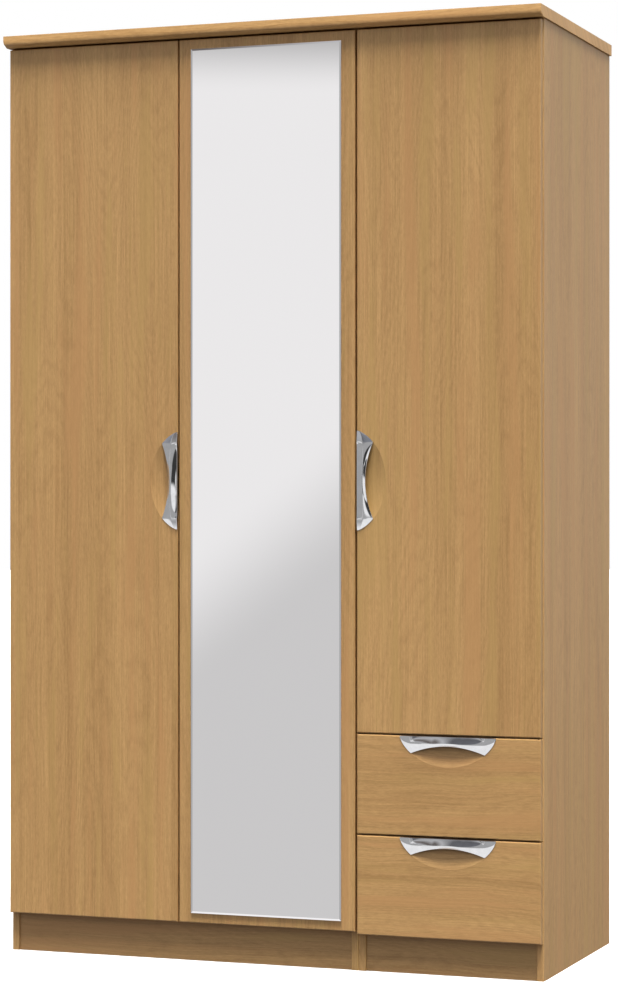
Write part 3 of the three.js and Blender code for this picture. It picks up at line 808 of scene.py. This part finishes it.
def lofted_pull(name, form):
    """A pull in its own frame: X along the board's edge, Y in from the edge, Z out of the face."""
    stations = PULL_STATIONS
    turns = [math.pi * (i + 0.35) / (stations + 0.7) for i in range(stations + 1)]
    places = [-form.half_length * math.cos(turn) for turn in turns]
    rings = [pull_section(form, along) for along in places]
    around = len(rings[0])
    deselect()
    bpy.ops.mesh.primitive_grid_add(x_subdivisions=stations, y_subdivisions=around, size=2)
    piece = bpy.context.active_object
    for vertex in piece.data.vertices:
        i = round((vertex.co.x + 1) / 2 * stations)
        j = round((vertex.co.y + 1) / 2 * around)
        vertex.co = (places[i], *rings[i][j % around])
    enter()
    bpy.ops.mesh.remove_doubles(threshold=0.001 * MM)
    bpy.ops.mesh.select_all(action="DESELECT")
    bpy.ops.mesh.select_mode(type="EDGE")
    bpy.ops.mesh.select_non_manifold()
    bpy.ops.mesh.edge_face_add()
    bpy.ops.mesh.select_all(action="SELECT")
    bpy.ops.mesh.normals_make_consistent(inside=False)
    leave()
    return settled(name)


def pull_frame(edge_point, inward):
    """The pull's frame on a board whose face looks along -Y."""
    out = Vector((0, -1, 0))
    return frame_at(edge_point, Vector(inward).cross(out), inward, out)


def scoop_cutter(where):
    cutter = ball("scoop_cutter", 160, 96)
    shift = Matrix.Translation((0, -SCOOP_OFFSET, SCOOP_OFFSET))
    cutter.data.transform(where @ shift @ Matrix.Diagonal((*SCOOP_RADII, 1.0)))
    return cutter


def pull_places():
    """The frame of each pull, by the body that carries it."""
    pull_low, pull_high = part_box("left_door_handle")
    height = (pull_low.z + pull_high.z) / 2
    left_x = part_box("left_door_panel")[1].x
    right_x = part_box("right_door_panel")[0].x
    places = {
        "left_door": pull_frame((left_x, FACE_Y, height), (-1, 0, 0)),
        "right_door": pull_frame((right_x, FACE_Y, height), (1, 0, 0)),
    }
    for drawer in DRAWERS:
        low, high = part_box(f"{drawer}_front")
        places[drawer] = pull_frame(((low.x + high.x) / 2, FACE_Y, high.z), (0, 0, -1))
    return places


def cup_centres(door):
    """The middle of each hinge cup of a door, on the door's back."""
    count = sum(1 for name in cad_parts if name.startswith(f"{door}_cup_"))
    boxes = [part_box(f"{door}_cup_{index + 1}") for index in range(count)]
    return [Vector(((low.x + high.x) / 2, DOOR_BACK_Y, (low.z + high.z) / 2)) for low, high in boxes]


# ---- pieces


class WARDROBE_OT_top(bpy.types.Operator):
    """Build the common top, with its undercut front"""

    bl_idname = "wardrobe.top"
    bl_label = "Top board"

    def execute(self, context):
        low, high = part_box("wardrobe_top")
        front = at_front(low.y)
        piece = block("wardrobe_top_board", (low.x, low.y + UNDERCUT, low.z), high)
        pick(piece, "FACE", lambda face: face.normal.y < -0.9)
        grow((0, -UNDERCUT, 0))
        leave()
        rise = high.z - low.z - TOP_BAND
        nudge(piece, lambda co: co.y < low.y + MM and co.z < low.z + MM, (0, 0, rise))
        round_edges(piece, TOP_LIP_RADIUS, 8, lambda a, b: front(a, b) and max(a.z, b.z) < high.z - MM)
        round_edges(piece, TOP_EDGE_RADIUS, 4, lambda a, b: front(a, b) and min(a.z, b.z) > high.z - MM)
        round_small_edges(piece, context.scene.wardrobe_boards.arris)
        soften(piece, BOARD_SMOOTHING)
        clad(piece, oak("level", 9), stock("raw_edge"), rear)
        place(piece, "case", "oak_level", "wardrobe_top")
        return {"FINISHED"}


class WARDROBE_OT_case(bpy.types.Operator):
    """Build the side panels, floors, plinths, shelves and divider of both units"""

    bl_idname = "wardrobe.case"
    bl_label = "Case boards"

    def execute(self, context):
        radius = context.scene.wardrobe_boards.side_edge
        for number, unit in enumerate(UNITS):
            for side in ("left", "right"):
                node = f"{unit}_{side}_side"
                front = at_front(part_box(node)[0].y)

                def upright_front(a, b, front=front):
                    return front(a, b) and abs(a.x - b.x) < MM

                shift = 21 + 3 * number + (side == "right")
                piece = board(node, oak("up", shift), radius, upright_front, rear_or_foot)
                place(piece, "case", "oak_upright", node)
            for part, shift in (("base", 41), ("shelf", 43)):
                node = f"{unit}_{part}"
                piece = board(node, oak_inside("level", shift + number), raw=rear)
                place(piece, "case", "oak_inside", node)
            node = f"{unit}_plinth"
            # The plinth's darker oak is painted shade, not a colour of its own.
            material = finish_of(f"oak_plinth_{unit}", oak_laminate, "level", 31 + number, PLINTH_PAINTED_SHADE)
            place(board(node, material), "case", "oak_level", node)
        node = "single_divider"
        place(board(node, oak_inside("level", 47)), "case", "oak_inside", node)
        return {"FINISHED"}


class WARDROBE_OT_backs(bpy.types.Operator):
    """Build the thin back panels, printed inside and raw outside"""

    bl_idname = "wardrobe.backs"
    bl_label = "Back panels"

    def execute(self, context):
        for number, unit in enumerate(UNITS):
            node = f"{unit}_back"
            inside = oak_inside("up", 51 + number)
            piece = board(node, inside)
            clad(piece, inside, stock("back_raw"), lambda face: face.normal.y > 0.5)
            place(piece, "case", "hardboard", node)
        return {"FINISHED"}


def front_panel(node, material, back_material, scoop=None, cups=()):
    """A wrapped door or drawer front: rounded front edges, its pull recess and its hinge bores."""
    low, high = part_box(node)
    piece = block(f"{node}_board", low, high)
    round_edges(piece, bpy.context.scene.wardrobe_boards.door_edge, 8, at_front(low.y))
    if scoop is not None:
        carve(piece, scoop_cutter(scoop))
    cup_low, cup_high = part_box("left_door_cup_1")
    for centre in cups:
        spot = (centre.x, high.y, centre.z)
        carve(piece, rod("bore_cutter", spot, BORE_RADIUS, 2 * (cup_high.y - cup_low.y), "y", 64))
    soften(piece, FRONT_SMOOTHING)
    return clad(piece, material, back_material, lambda f: f.normal.y > 0.5 and f.center.y > high.y - MM)


class WARDROBE_OT_doors(bpy.types.Operator):
    """Build the three wrapped doors with their recesses and hinge bores"""

    bl_idname = "wardrobe.doors"
    bl_label = "Doors"

    def execute(self, context):
        scoops = pull_places()
        for number, door in enumerate(DOORS):
            node = f"{door}_panel"
            inside = oak_inside("up", 61 + number)
            piece = front_panel(node, oak("up", 1 + number), inside, scoops.get(door), cup_centres(door))
            place(piece, door, "oak_upright", node)
        return {"FINISHED"}


def groove_for(piece, bottom):
    """Cuts the groove that the drawer's bottom slides into."""
    low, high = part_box(bottom)
    margin = Vector((GROOVE_SLACK, 10 * MM, GROOVE_SLACK))
    carve(piece, block("groove_cutter", low - margin, high + margin))


class WARDROBE_OT_drawers(bpy.types.Operator):
    """Build the drawer fronts and the drawer boxes behind them"""

    bl_idname = "wardrobe.drawers"
    bl_label = "Drawers"

    def execute(self, context):
        scoops = pull_places()
        for number, drawer in enumerate(DRAWERS):
            node = f"{drawer}_front"
            inside = oak_inside("level", 71 + number)
            front = front_panel(node, oak("level", 5 + number), inside, scoops[drawer])
            place(front, drawer, "oak_level", node)
            for side in ("left", "right"):
                node = f"{drawer}_{side}_side"
                piece = board(node, oak_inside("run", 73))
                groove_for(piece, f"{drawer}_bottom")
                place(piece, drawer, "oak_inside", node)
            node = f"{drawer}_back"
            place(board(node, oak_inside("level", 75)), drawer, "oak_inside", node)
            node = f"{drawer}_bottom"
            inside = oak_inside("level", 77 + number)
            piece = board(node, inside)
            clad(piece, inside, stock("back_raw"), lambda face: face.normal.z < -0.5)
            place(piece, drawer, "hardboard", node)
        return {"FINISHED"}


class WARDROBE_OT_mirror(bpy.types.Operator):
    """Build the bevelled mirror on the middle door"""

    bl_idname = "wardrobe.mirror"
    bl_label = "Mirror"

    def execute(self, context):
        low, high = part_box("mirror_glass")
        piece = block("mirror_glass_plate", low, high)
        pick(piece, "FACE", lambda face: face.normal.y < -0.9)
        bpy.ops.mesh.inset(thickness=MIRROR_BEVEL, depth=0)
        leave()

        def rim(co):
            at_side = co.x < low.x + MM or co.x > high.x - MM
            at_end = co.z < low.z + MM or co.z > high.z - MM
            return co.y < low.y + TOUCH and (at_side or at_end)

        nudge(piece, rim, (0, MIRROR_BEVEL_DROP, 0))
        clad(piece, stock("silvered_glass"))
        place(piece, "mirror_door", "mirror", "mirror_glass")
        return {"FINISHED"}


class WARDROBE_OT_pulls(bpy.types.Operator):
    """Build the four chrome edge pulls"""

    bl_idname = "wardrobe.pulls"
    bl_label = "Chrome pulls"

    def execute(self, context):
        form = context.scene.wardrobe_pulls
        for body, where in pull_places().items():
            piece = lofted_pull(f"{body}_chrome_pull", form)
            piece.data.transform(where)
            smooth(piece, PULL_SMOOTHING)
            clad(piece, stock("polished_chrome"))
            place(piece, body, "pull_chrome", f"{body}_handle")
        return {"FINISHED"}


def screw_pattern():
    """A cross-head screw whose seat is at Z 0 and whose head looks along +Z."""
    head = rod("screw_pattern", (0, 0, -SCREW_SINK), SCREW_RADIUS, SCREW_LENGTH, "z", 32)
    for wide, tall in (SCREW_CROSS, SCREW_CROSS[::-1]):
        x, y = wide / 2, tall / 2
        carve(head, block("recess_cutter", (-x, -y, -0.5 * MM), (x, y, 2 * MM)))
    return finished(head, 0.25 * MM, "zinc_screw")


def cup_pattern():
    """A hinge cup with its screw wings. The door's back is at Z 0, with +Z out of it and Y up the door."""
    cup = rod("cup_pattern", (0, 0, -CUP_DEPTH / 2), CUP_RADIUS, CUP_DEPTH, "z", 64)
    pick(cup, "FACE", lambda face: face.normal.z > 0.9)
    flange = FLANGE_RADIUS / CUP_RADIUS
    grow((0, 0, 0))
    bpy.ops.transform.resize(value=(flange, flange, 1))
    grow((0, 0, WING_THICKNESS))
    bpy.ops.mesh.inset(thickness=CUP_WALL, depth=0)
    grow((0, 0, -CUP_DEPTH))
    leave()
    round_small_edges(cup, 0.3 * MM)
    wings = block("wings", (-WING_X, -WING_Y, 0), (WING_X, WING_Y, WING_THICKNESS))
    round_edges(wings, WING_CORNER, 6, lambda a, b: abs(a.z - b.z) > WING_THICKNESS / 2)
    carve(wings, rod("wing_cutter", (0, 0, 0), WING_HOLE, 8 * WING_THICKNESS, "z", 64))
    round_small_edges(wings, 0.2 * MM)
    parts = [cup, wings]
    for x in CUP_PIN_PLACES:
        parts.append(rod("pin", (x, 0, -CUP_PIN_SINK), CUP_PIN_RADIUS, CUP_PIN_LENGTH, "y", 16))
    piece = join("cup_pattern", parts)
    soften(piece, METAL_SMOOTHING)
    return clad(piece, stock("pressed_steel"))


def arm_pattern():
    """A hinge arm on its plate, on a side panel whose face is at X 0, with the unit's front at Y 0."""
    plate = block("plate", PLATE_LOW, PLATE_HIGH)
    round_edges(plate, PLATE_CORNER, 6, lambda a, b: abs(a.x - b.x) > MM)
    round_small_edges(plate, 0.5 * MM)
    arm = prism("arm", ARM_OUTLINE, -ARM_HALF, ARM_HALF, "z")
    carve(arm, block("channel_cutter", *ARM_CHANNEL))
    for y, radius in ARM_SLOTS:
        carve(arm, rod("slot_cutter", (ARM_SLOT_X, y, 0), radius, ARM_SLOT_DEPTH, "x", 24))
    round_small_edges(arm, 0.6 * MM)
    piece = join("arm_pattern", [plate, arm])
    soften(piece, METAL_SMOOTHING)
    return clad(piece, stock("pressed_steel"))


class WARDROBE_OT_hinges(bpy.types.Operator):
    """Build the hinge cups, arms and screws"""

    bl_idname = "wardrobe.hinges"
    bl_label = "Hinges"

    def execute(self, context):
        screw, cup, arm = screw_pattern(), cup_pattern(), arm_pattern()
        for door in DOORS:
            for index, centre in enumerate(cup_centres(door), start=1):
                node = f"{door}_cup_{index}"
                parts = [stamp(cup, node, facing(centre, (0, 1, 0)))]
                for up in (-WING_SCREW, WING_SCREW):
                    spot = centre + Vector((0, WING_THICKNESS, up))
                    parts.append(stamp(screw, "cup_screw", facing(spot, (0, 1, 0))))
                place(join(f"{node}_pressed", parts), door, "hinge_steel", node)

                cup_low_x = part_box(node)[0].x
                node = f"{door}_arm_{index}"
                low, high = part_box(node)
                way = 1 if cup_low_x > low.x else -1
                wall = low.x if way > 0 else high.x
                where = Matrix.Translation((wall, CASE_FRONT_Y, centre.z)) @ Matrix.Diagonal((way, 1, 1, 1))
                parts = [stamp(arm, node, where)]
                for depth, up, height in ARM_SCREWS:
                    spot = (wall + way * height, CASE_FRONT_Y + depth, centre.z + up)
                    parts.append(stamp(screw, "arm_screw", facing(spot, (way, 0, 0))))
                place(join(f"{node}_pressed", parts), "case", "hinge_steel", node)
        scrap(screw, cup, arm)
        return {"FINISHED"}


def oval_bar(name, ends, centre_y, centre_z, half_width, half_height):
    """An upright oval bar along X."""
    low_x, high_x = sorted(ends)
    bar = rod(name, ((low_x + high_x) / 2, centre_y, centre_z), half_width, high_x - low_x, "x", 64)
    stretch = half_height - half_width
    nudge(bar, lambda co: co.z > centre_z + 0.1 * TOUCH, (0, 0, stretch))
    nudge(bar, lambda co: co.z < centre_z - 0.1 * TOUCH, (0, 0, -stretch))
    return bar


class WARDROBE_OT_rails(bpy.types.Operator):
    """Build the oval hanging rails and their end sockets"""

    bl_idname = "wardrobe.rails"
    bl_label = "Hanging rails"

    def execute(self, context):
        for unit in UNITS:
            low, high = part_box(f"{unit}_rail")
            y, z = (low.y + high.y) / 2, (low.z + high.z) / 2
            tube = oval_bar("tube", (low.x, high.x), y, z, *TUBE_HALF)
            soften(tube, METAL_SMOOTHING)
            parts = [clad(tube, stock("plated_tube"))]
            for wall, way in ((low.x, 1), (high.x, -1)):
                for name, (length, half_width, half_height) in SOCKET_STEPS.items():
                    step = oval_bar(name, (wall, wall + way * length), y, z, half_width, half_height)
                    parts.append(finished(step, 0.6 * MM, "polished_chrome"))
            place(join(f"{unit}_hanging_rail", parts), "case", "rail_chrome", f"{unit}_rail")
        return {"FINISHED"}


class Guide:
    """The face that a runner or track is screwed to: its x, the way it looks, and where heights start."""

    def __init__(self, face_x, way, bottom):
        self.face_x, self.way, self.bottom = face_x, way, bottom

    def strip(self, name, outline, low_y, high_y):
        """A folded steel strip. Its outline gives distances from the face, and heights."""
        face, bottom = self.face_x / MM, self.bottom / MM
        points = [(face + self.way * across, bottom + up) for across, up in outline]
        return finished(prism(name, points, low_y, high_y, "y"), STRIP_ROUND, "runner_epoxy")

    def roller(self, name, y, height, radius):
        """A nylon wheel on a riveted steel axle."""
        z = self.bottom + height
        wheel = rod(name, (self.face_x + self.way * WHEEL_OFFSET, y, z), radius, WHEEL_WIDTH, "x")
        middle = (self.face_x + self.way * AXLE_LENGTH / 2, y, z)
        axle = rod("axle", middle, AXLE_RADIUS, AXLE_LENGTH, "x", 24)
        return [finished(wheel, 0.8 * MM, "nylon"), finished(axle, 0.6 * MM, "zinc_screw")]

    def screws(self, screw, name, start_y, distances, height):
        x, z = self.face_x + self.way * STRIP * MM, self.bottom + height
        spots = [(x, start_y + distance, z) for distance in distances]
        return [stamp(screw, name, facing(spot, (self.way, 0, 0))) for spot in spots]


class WARDROBE_OT_runners(bpy.types.Operator):
    """Build the drawer runners: folded strips with nylon rollers and screws"""

    bl_idname = "wardrobe.runners"
    bl_label = "Drawer runners"

    def execute(self, context):
        screw = screw_pattern()
        for drawer in DRAWERS:
            for side, way in (("left", -1), ("right", 1)):
                low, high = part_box(f"{drawer}_{side}_side")
                bottom = low.z
                guide = Guide(low.x if way < 0 else high.x, way, bottom)
                back, height, radius = REAR_ROLLER
                parts = [guide.strip("strip", RUNNER_OUTLINE, low.y + RUNNER_START, high.y)]
                parts += guide.roller("rear_roller", high.y - back, height, radius)
                parts += guide.screws(screw, "runner_screw", low.y, RUNNER_SCREWS, RUNNER_SCREW_HEIGHT)
                node = f"{drawer}_{side}_runner"
                place(join(f"{node}_folded", parts), drawer, "runner_epoxy", node)

                node = f"{drawer}_{side}_track"
                low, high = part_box(node)
                guide = Guide(low.x if way < 0 else high.x, -way, bottom)
                start, height, radius = FRONT_ROLLER
                parts = [guide.strip("channel", CHANNEL_OUTLINE, low.y + CHANNEL_START, high.y)]
                parts.append(guide.strip("web", WEB_OUTLINE, low.y, low.y + WEB_LENGTH))
                parts += guide.roller("front_roller", low.y + start, height, radius)
                parts += guide.screws(screw, "track_screw", low.y, TRACK_SCREWS, TRACK_SCREW_HEIGHT)
                place(join(f"{node}_folded", parts), "case", "runner_epoxy", node)
        scrap(screw)
        return {"FINISHED"}


def scatter(name, body, slot, pattern, places):
    """Stamps a small fitting at each place and hangs the lot on a body as one piece."""
    pieces = [stamp(pattern, "fitting", where) for where in places]
    scrap(pattern)
    place(join(name, pieces), body, slot)


class WARDROBE_OT_fixings(bpy.types.Operator):
    """Add the small fixings: back pins, cam caps, joining bolts and door buffers"""

    bl_idname = "wardrobe.fixings"
    bl_label = "Fixings"

    def execute(self, context):
        for unit in UNITS:
            self.back_pins(unit)
            self.cam_caps(unit)
        self.joining_bolts()
        for door in DOORS:
            self.buffers(door)
        return {"FINISHED"}

    def back_pins(self, unit):
        """Pin heads round the edge of a back panel."""
        pattern = finished(rod("pin", (0, 0, 0), PIN_RADIUS, PIN_LENGTH, "z", 12), 0.3 * MM, "zinc_screw")
        low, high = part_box(f"{unit}_back")
        width, height = high.x - low.x - 2 * PIN_INSET, high.z - low.z - 2 * PIN_INSET
        rows = math.ceil((high.z - low.z) / PIN_SPACING)
        columns = math.ceil((high.x - low.x) / PIN_SPACING)
        spots = []
        for step in range(rows + 1):
            z = low.z + PIN_INSET + height * step / rows
            spots += [(low.x + PIN_INSET, z), (high.x - PIN_INSET, z)]
        for step in range(1, columns):
            x = low.x + PIN_INSET + width * step / columns
            spots += [(x, low.z + PIN_INSET), (x, high.z - PIN_INSET)]
        places = [facing((x, high.y, z), (0, 1, 0)) for x, z in spots]
        scatter(f"{unit}_back_pins", "case", "hinge_steel", pattern, places)

    def cam_caps(self, unit):
        """Caps over the connectors under the top, shelf and divider boards."""
        cap = rod("cap", (0, 0, CAP_LIFT), CAP_RADIUS, CAP_LENGTH, "z", 40)
        pattern = finished(cap, 0.3 * MM, "brown_cap")
        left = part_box(f"{unit}_left_side")[0].x + BOARD + CAP_FROM_SIDE
        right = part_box(f"{unit}_right_side")[1].x - BOARD - CAP_FROM_SIDE
        shelf_low, shelf_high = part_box(f"{unit}_shelf")
        levels = [shelf_low.z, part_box("wardrobe_top")[0].z]
        if unit == "single":
            levels.append(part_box("single_divider")[0].z)
        places = []
        for x in (left, right):
            for y in (shelf_low.y + CAP_FROM_END, shelf_high.y - CAP_FROM_END):
                places += [facing((x, y, level), (0, 0, -1), (0, 1, 0)) for level in levels]
        scatter(f"{unit}_cam_caps", "case", "oak_inside", pattern, places)

    def joining_bolts(self):
        """The connecting bolts that hold the two units together, seen from inside each unit."""
        bolt = rod("bolt", (0, 0, BOLT_LIFT), BOLT_RADIUS, BOLT_LENGTH, "z", 40)
        carve(bolt, rod("hex", (0, 0, BOLT_SOCKET_LIFT), BOLT_SOCKET_RADIUS, BOLT_SOCKET_DEPTH, "z", 6))
        pattern = finished(bolt, 0.4 * MM, "zinc_screw")
        low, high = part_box("double_right_side")
        single_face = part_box("single_left_side")[1].x
        places = []
        for y in (low.y + BOLT_INSET, high.y - BOLT_INSET):
            for z in BOLT_HEIGHTS:
                places += [facing((low.x, y, z), (-1, 0, 0)), facing((single_face, y, z), (1, 0, 0))]
        scatter("joining_bolts", "case", "hinge_steel", pattern, places)

    def buffers(self, door):
        """Soft discs on a door's back, near the corners that swing."""
        disc = rod("buffer", (0, 0, BUFFER_LIFT), BUFFER_RADIUS, BUFFER_LENGTH, "z", 32)
        pattern = finished(disc, 0.5 * MM, "nylon")
        low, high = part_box(f"{door}_panel")
        cup_low, cup_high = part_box(f"{door}_cup_1")
        hinge_left = cup_low.x - low.x < high.x - cup_high.x
        x = high.x - BUFFER_FROM_SIDE if hinge_left else low.x + BUFFER_FROM_SIDE
        heights = (low.z + BUFFER_FROM_END, high.z - BUFFER_FROM_END)
        places = [facing((x, DOOR_BACK_Y, z), (0, 1, 0)) for z in heights]
        scatter(f"{door}_buffers", door, "oak_inside", pattern, places)


# ---- studio


def by_direction(g, output):
    """The X, Y and Z of a direction, as number sockets."""
    way = g.add("ShaderNodeTexCoord", output=output)
    return g.parts(g.add("ShaderNodeVectorMath", {"operation": "NORMALIZE"}, [way]))


def blend(low, high, share):
    return low * (1 - share) + high * share


def grey(g, level):
    return g.add("ShaderNodeCombineColor", None, [level, level, level])


def white_room():
    """What lights the room: white behind, brighter above the horizon than below it in front."""
    g = Graph("white_room", bpy.data.worlds, "Background")
    _, y, z = by_direction(g, "Generated")
    front = g.spread(z, -0.05, 0.50, 0.07, 1.0) + g.spread(z, -0.50, -0.95, 0.0, 0.45)
    back = g.spread(z, -0.16, -0.07, 0.20, 1.0)
    g.finish(Color=grey(g, blend(front, back, g.spread(y, -0.10, 0.20))), Strength=1.0)
    g.material.cycles_visibility.glossy = False
    return g.material


def dome(name, radius, seen_by, g, colour):
    """A great glowing sphere round the scene that only one kind of ray sees."""
    shell = ball(name, 64, 32, radius)
    for ray in ("camera", "diffuse", "glossy", "transmission", "volume_scatter", "shadow"):
        setattr(shell, f"visible_{ray}", ray == seen_by)
    glow = {"Emission_Color": colour, "Emission_Strength": 1.0, "Specular_IOR_Level": 0.0}
    clad(shell, g.finish(Base_Color=(0.0, 0.0, 0.0, 1.0), **glow))


def reflected_room(g):
    """What polished parts mirror: grey cards at the left, a dark card over a white one at the right."""
    x, y, z = by_direction(g, "Object")
    split = g.spread(z - x * 0.75 + y * 0.304, -0.052, 0.004, 0.645, 0.91)
    split = split * g.spread(z, 0.160, 0.190, 1.0, 0.42)
    card_width = g.spread(x, -0.43, -0.42) * g.spread(x, -0.315, -0.325)
    card_height = g.spread(z, -0.20, -0.18) * g.spread(z, 0.21, 0.19)
    left = blend(0.43, split, card_width * card_height)
    near_right = g.spread(z, -0.03, 0.01, 1.0, DARK_CARD)
    far_right = g.spread(z, -0.03, 0.01, DARK_CARD, 1.0)
    right = blend(near_right, far_right, g.spread(x, 0.60, 0.70))
    front = blend(left, right, g.spread(x - z * 0.8, 0.10, 0.17))
    front = blend(front, 1.0, g.spread(z, -0.20, -0.24) * g.spread(x, 0.60, 0.50))
    back = g.spread(z, -0.10, 0.0, 0.22, 0.60)
    level = blend(front, back, g.spread(y, 0.30, 0.50))
    overhead = g.spread(z, 0.20, 0.26) * g.spread(y, 0.30, 0.10) * g.spread(x, 0.15, 0.05)
    return g.mix(overhead, grey(g, level), g.ramp(x * 0.5 + 0.5, CEILING_STRIPES))


def softbox(name, strength, height, lit):
    """A broad lamp from the front right that lights only the pieces it is given."""
    sun = bpy.data.lights.new(name, "SUN")
    sun.energy = strength
    sun.angle = LIGHT_SPREAD
    lamp = bpy.data.objects.new(name, sun)
    bpy.context.scene.collection.objects.link(lamp)
    lamp.rotation_euler = (math.pi / 2 - height, 0, LIGHT_AZIMUTH)
    lamp.visible_glossy = False
    receivers = bpy.data.collections.new(f"lit_by_{name}")
    for piece in lit:
        receivers.objects.link(piece)
    lamp.light_linking.receiver_collection = receivers


class WARDROBE_OT_studio(bpy.types.Operator):
    """Set up the pale floor, the soft lights and the camera"""

    bl_idname = "wardrobe.studio"
    bl_label = "Studio"

    def execute(self, context):
        scene = context.scene
        studio = scene.wardrobe_studio
        deselect()
        bpy.ops.mesh.primitive_circle_add(vertices=96, radius=FLOOR_RADIUS, fill_type="NGON")
        floor = settled("studio_floor")
        g = Graph("studio_floor")
        tone, pale = [studio.floor] * 3, [studio.floor * 1.02] * 3
        cloud = g.noise(g.place(), scale=0.6, detail=1.0)
        clad(floor, g.finish(Base_Color=g.mix(cloud, tone, pale), Roughness=0.9))
        floor.visible_diffuse = False
        floor.visible_glossy = False

        scene.world = white_room()
        g = Graph("reflection_dome")
        dome("reflection_dome", REFLECTION_RADIUS, "glossy", g, reflected_room(g))
        dome("backdrop", BACKDROP_RADIUS, "camera", Graph("backdrop"), (1.0, 1.0, 1.0, 1.0))
        top = [bpy.data.objects["wardrobe_top_board"]]
        rest = [piece for piece in scene.objects if piece.type == "MESH" and piece not in top]
        softbox("high_softbox", studio.key_strength, studio.key_height, rest)
        softbox("front_softbox", studio.top_strength, studio.top_height, top)

        camera = bpy.data.objects.new("camera", bpy.data.cameras.new("camera"))
        scene.collection.objects.link(camera)
        camera.location = CAMERA_PLACE
        camera.rotation_euler = (math.pi / 2, 0, CAMERA_AZIMUTH)
        camera.data.sensor_width = SENSOR_WIDTH
        camera.data.lens = studio.lens
        camera.data.shift_y = CAMERA_SHIFT
        scene.camera = camera
        scene.view_settings.view_transform = "Standard"
        return {"FINISHED"}


# ---- panel and registration

PIECES = (
    WARDROBE_OT_top,
    WARDROBE_OT_case,
    WARDROBE_OT_backs,
    WARDROBE_OT_doors,
    WARDROBE_OT_mirror,
    WARDROBE_OT_drawers,
    WARDROBE_OT_pulls,
    WARDROBE_OT_hinges,
    WARDROBE_OT_rails,
    WARDROBE_OT_runners,
    WARDROBE_OT_fixings,
    WARDROBE_OT_studio,
)
SETTINGS = {
    "wardrobe_boards": ("Boards", BoardSettings),
    "wardrobe_pulls": ("Pulls", PullSettings),
    "wardrobe_oak": ("Oak", OakSettings),
    "wardrobe_studio": ("Studio", StudioSettings),
}


class WARDROBE_PT_panel(bpy.types.Panel):
    """Lists the wardrobe's settings and pieces"""

    bl_idname = "WARDROBE_PT_panel"
    bl_label = "Wardrobe"
    bl_space_type = "VIEW_3D"
    bl_region_type = "UI"
    bl_category = "Wardrobe"

    def draw(self, context):
        for name, (title, group) in SETTINGS.items():
            box = self.layout.box()
            box.label(text=title)
            for key in group.__annotations__:
                box.prop(getattr(context.scene, name), key)
        for piece in PIECES:
            self.layout.operator(piece.bl_idname)


def register():
    for name, (_, group) in SETTINGS.items():
        bpy.utils.register_class(group)
        setattr(bpy.types.Scene, name, bpy.props.PointerProperty(type=group))
    for kind in (*PIECES, WARDROBE_PT_panel):
        bpy.utils.register_class(kind)


def unregister():
    for kind in (WARDROBE_PT_panel, *reversed(PIECES)):
        bpy.utils.unregister_class(kind)
    for name, (_, group) in SETTINGS.items():
        delattr(bpy.types.Scene, name)
        bpy.utils.unregister_class(group)


def main():
    register()
    for operator in PIECES:
        group, name = operator.bl_idname.split(".")
        getattr(getattr(bpy.ops, group), name)()


if __name__ == "__main__":
    main()
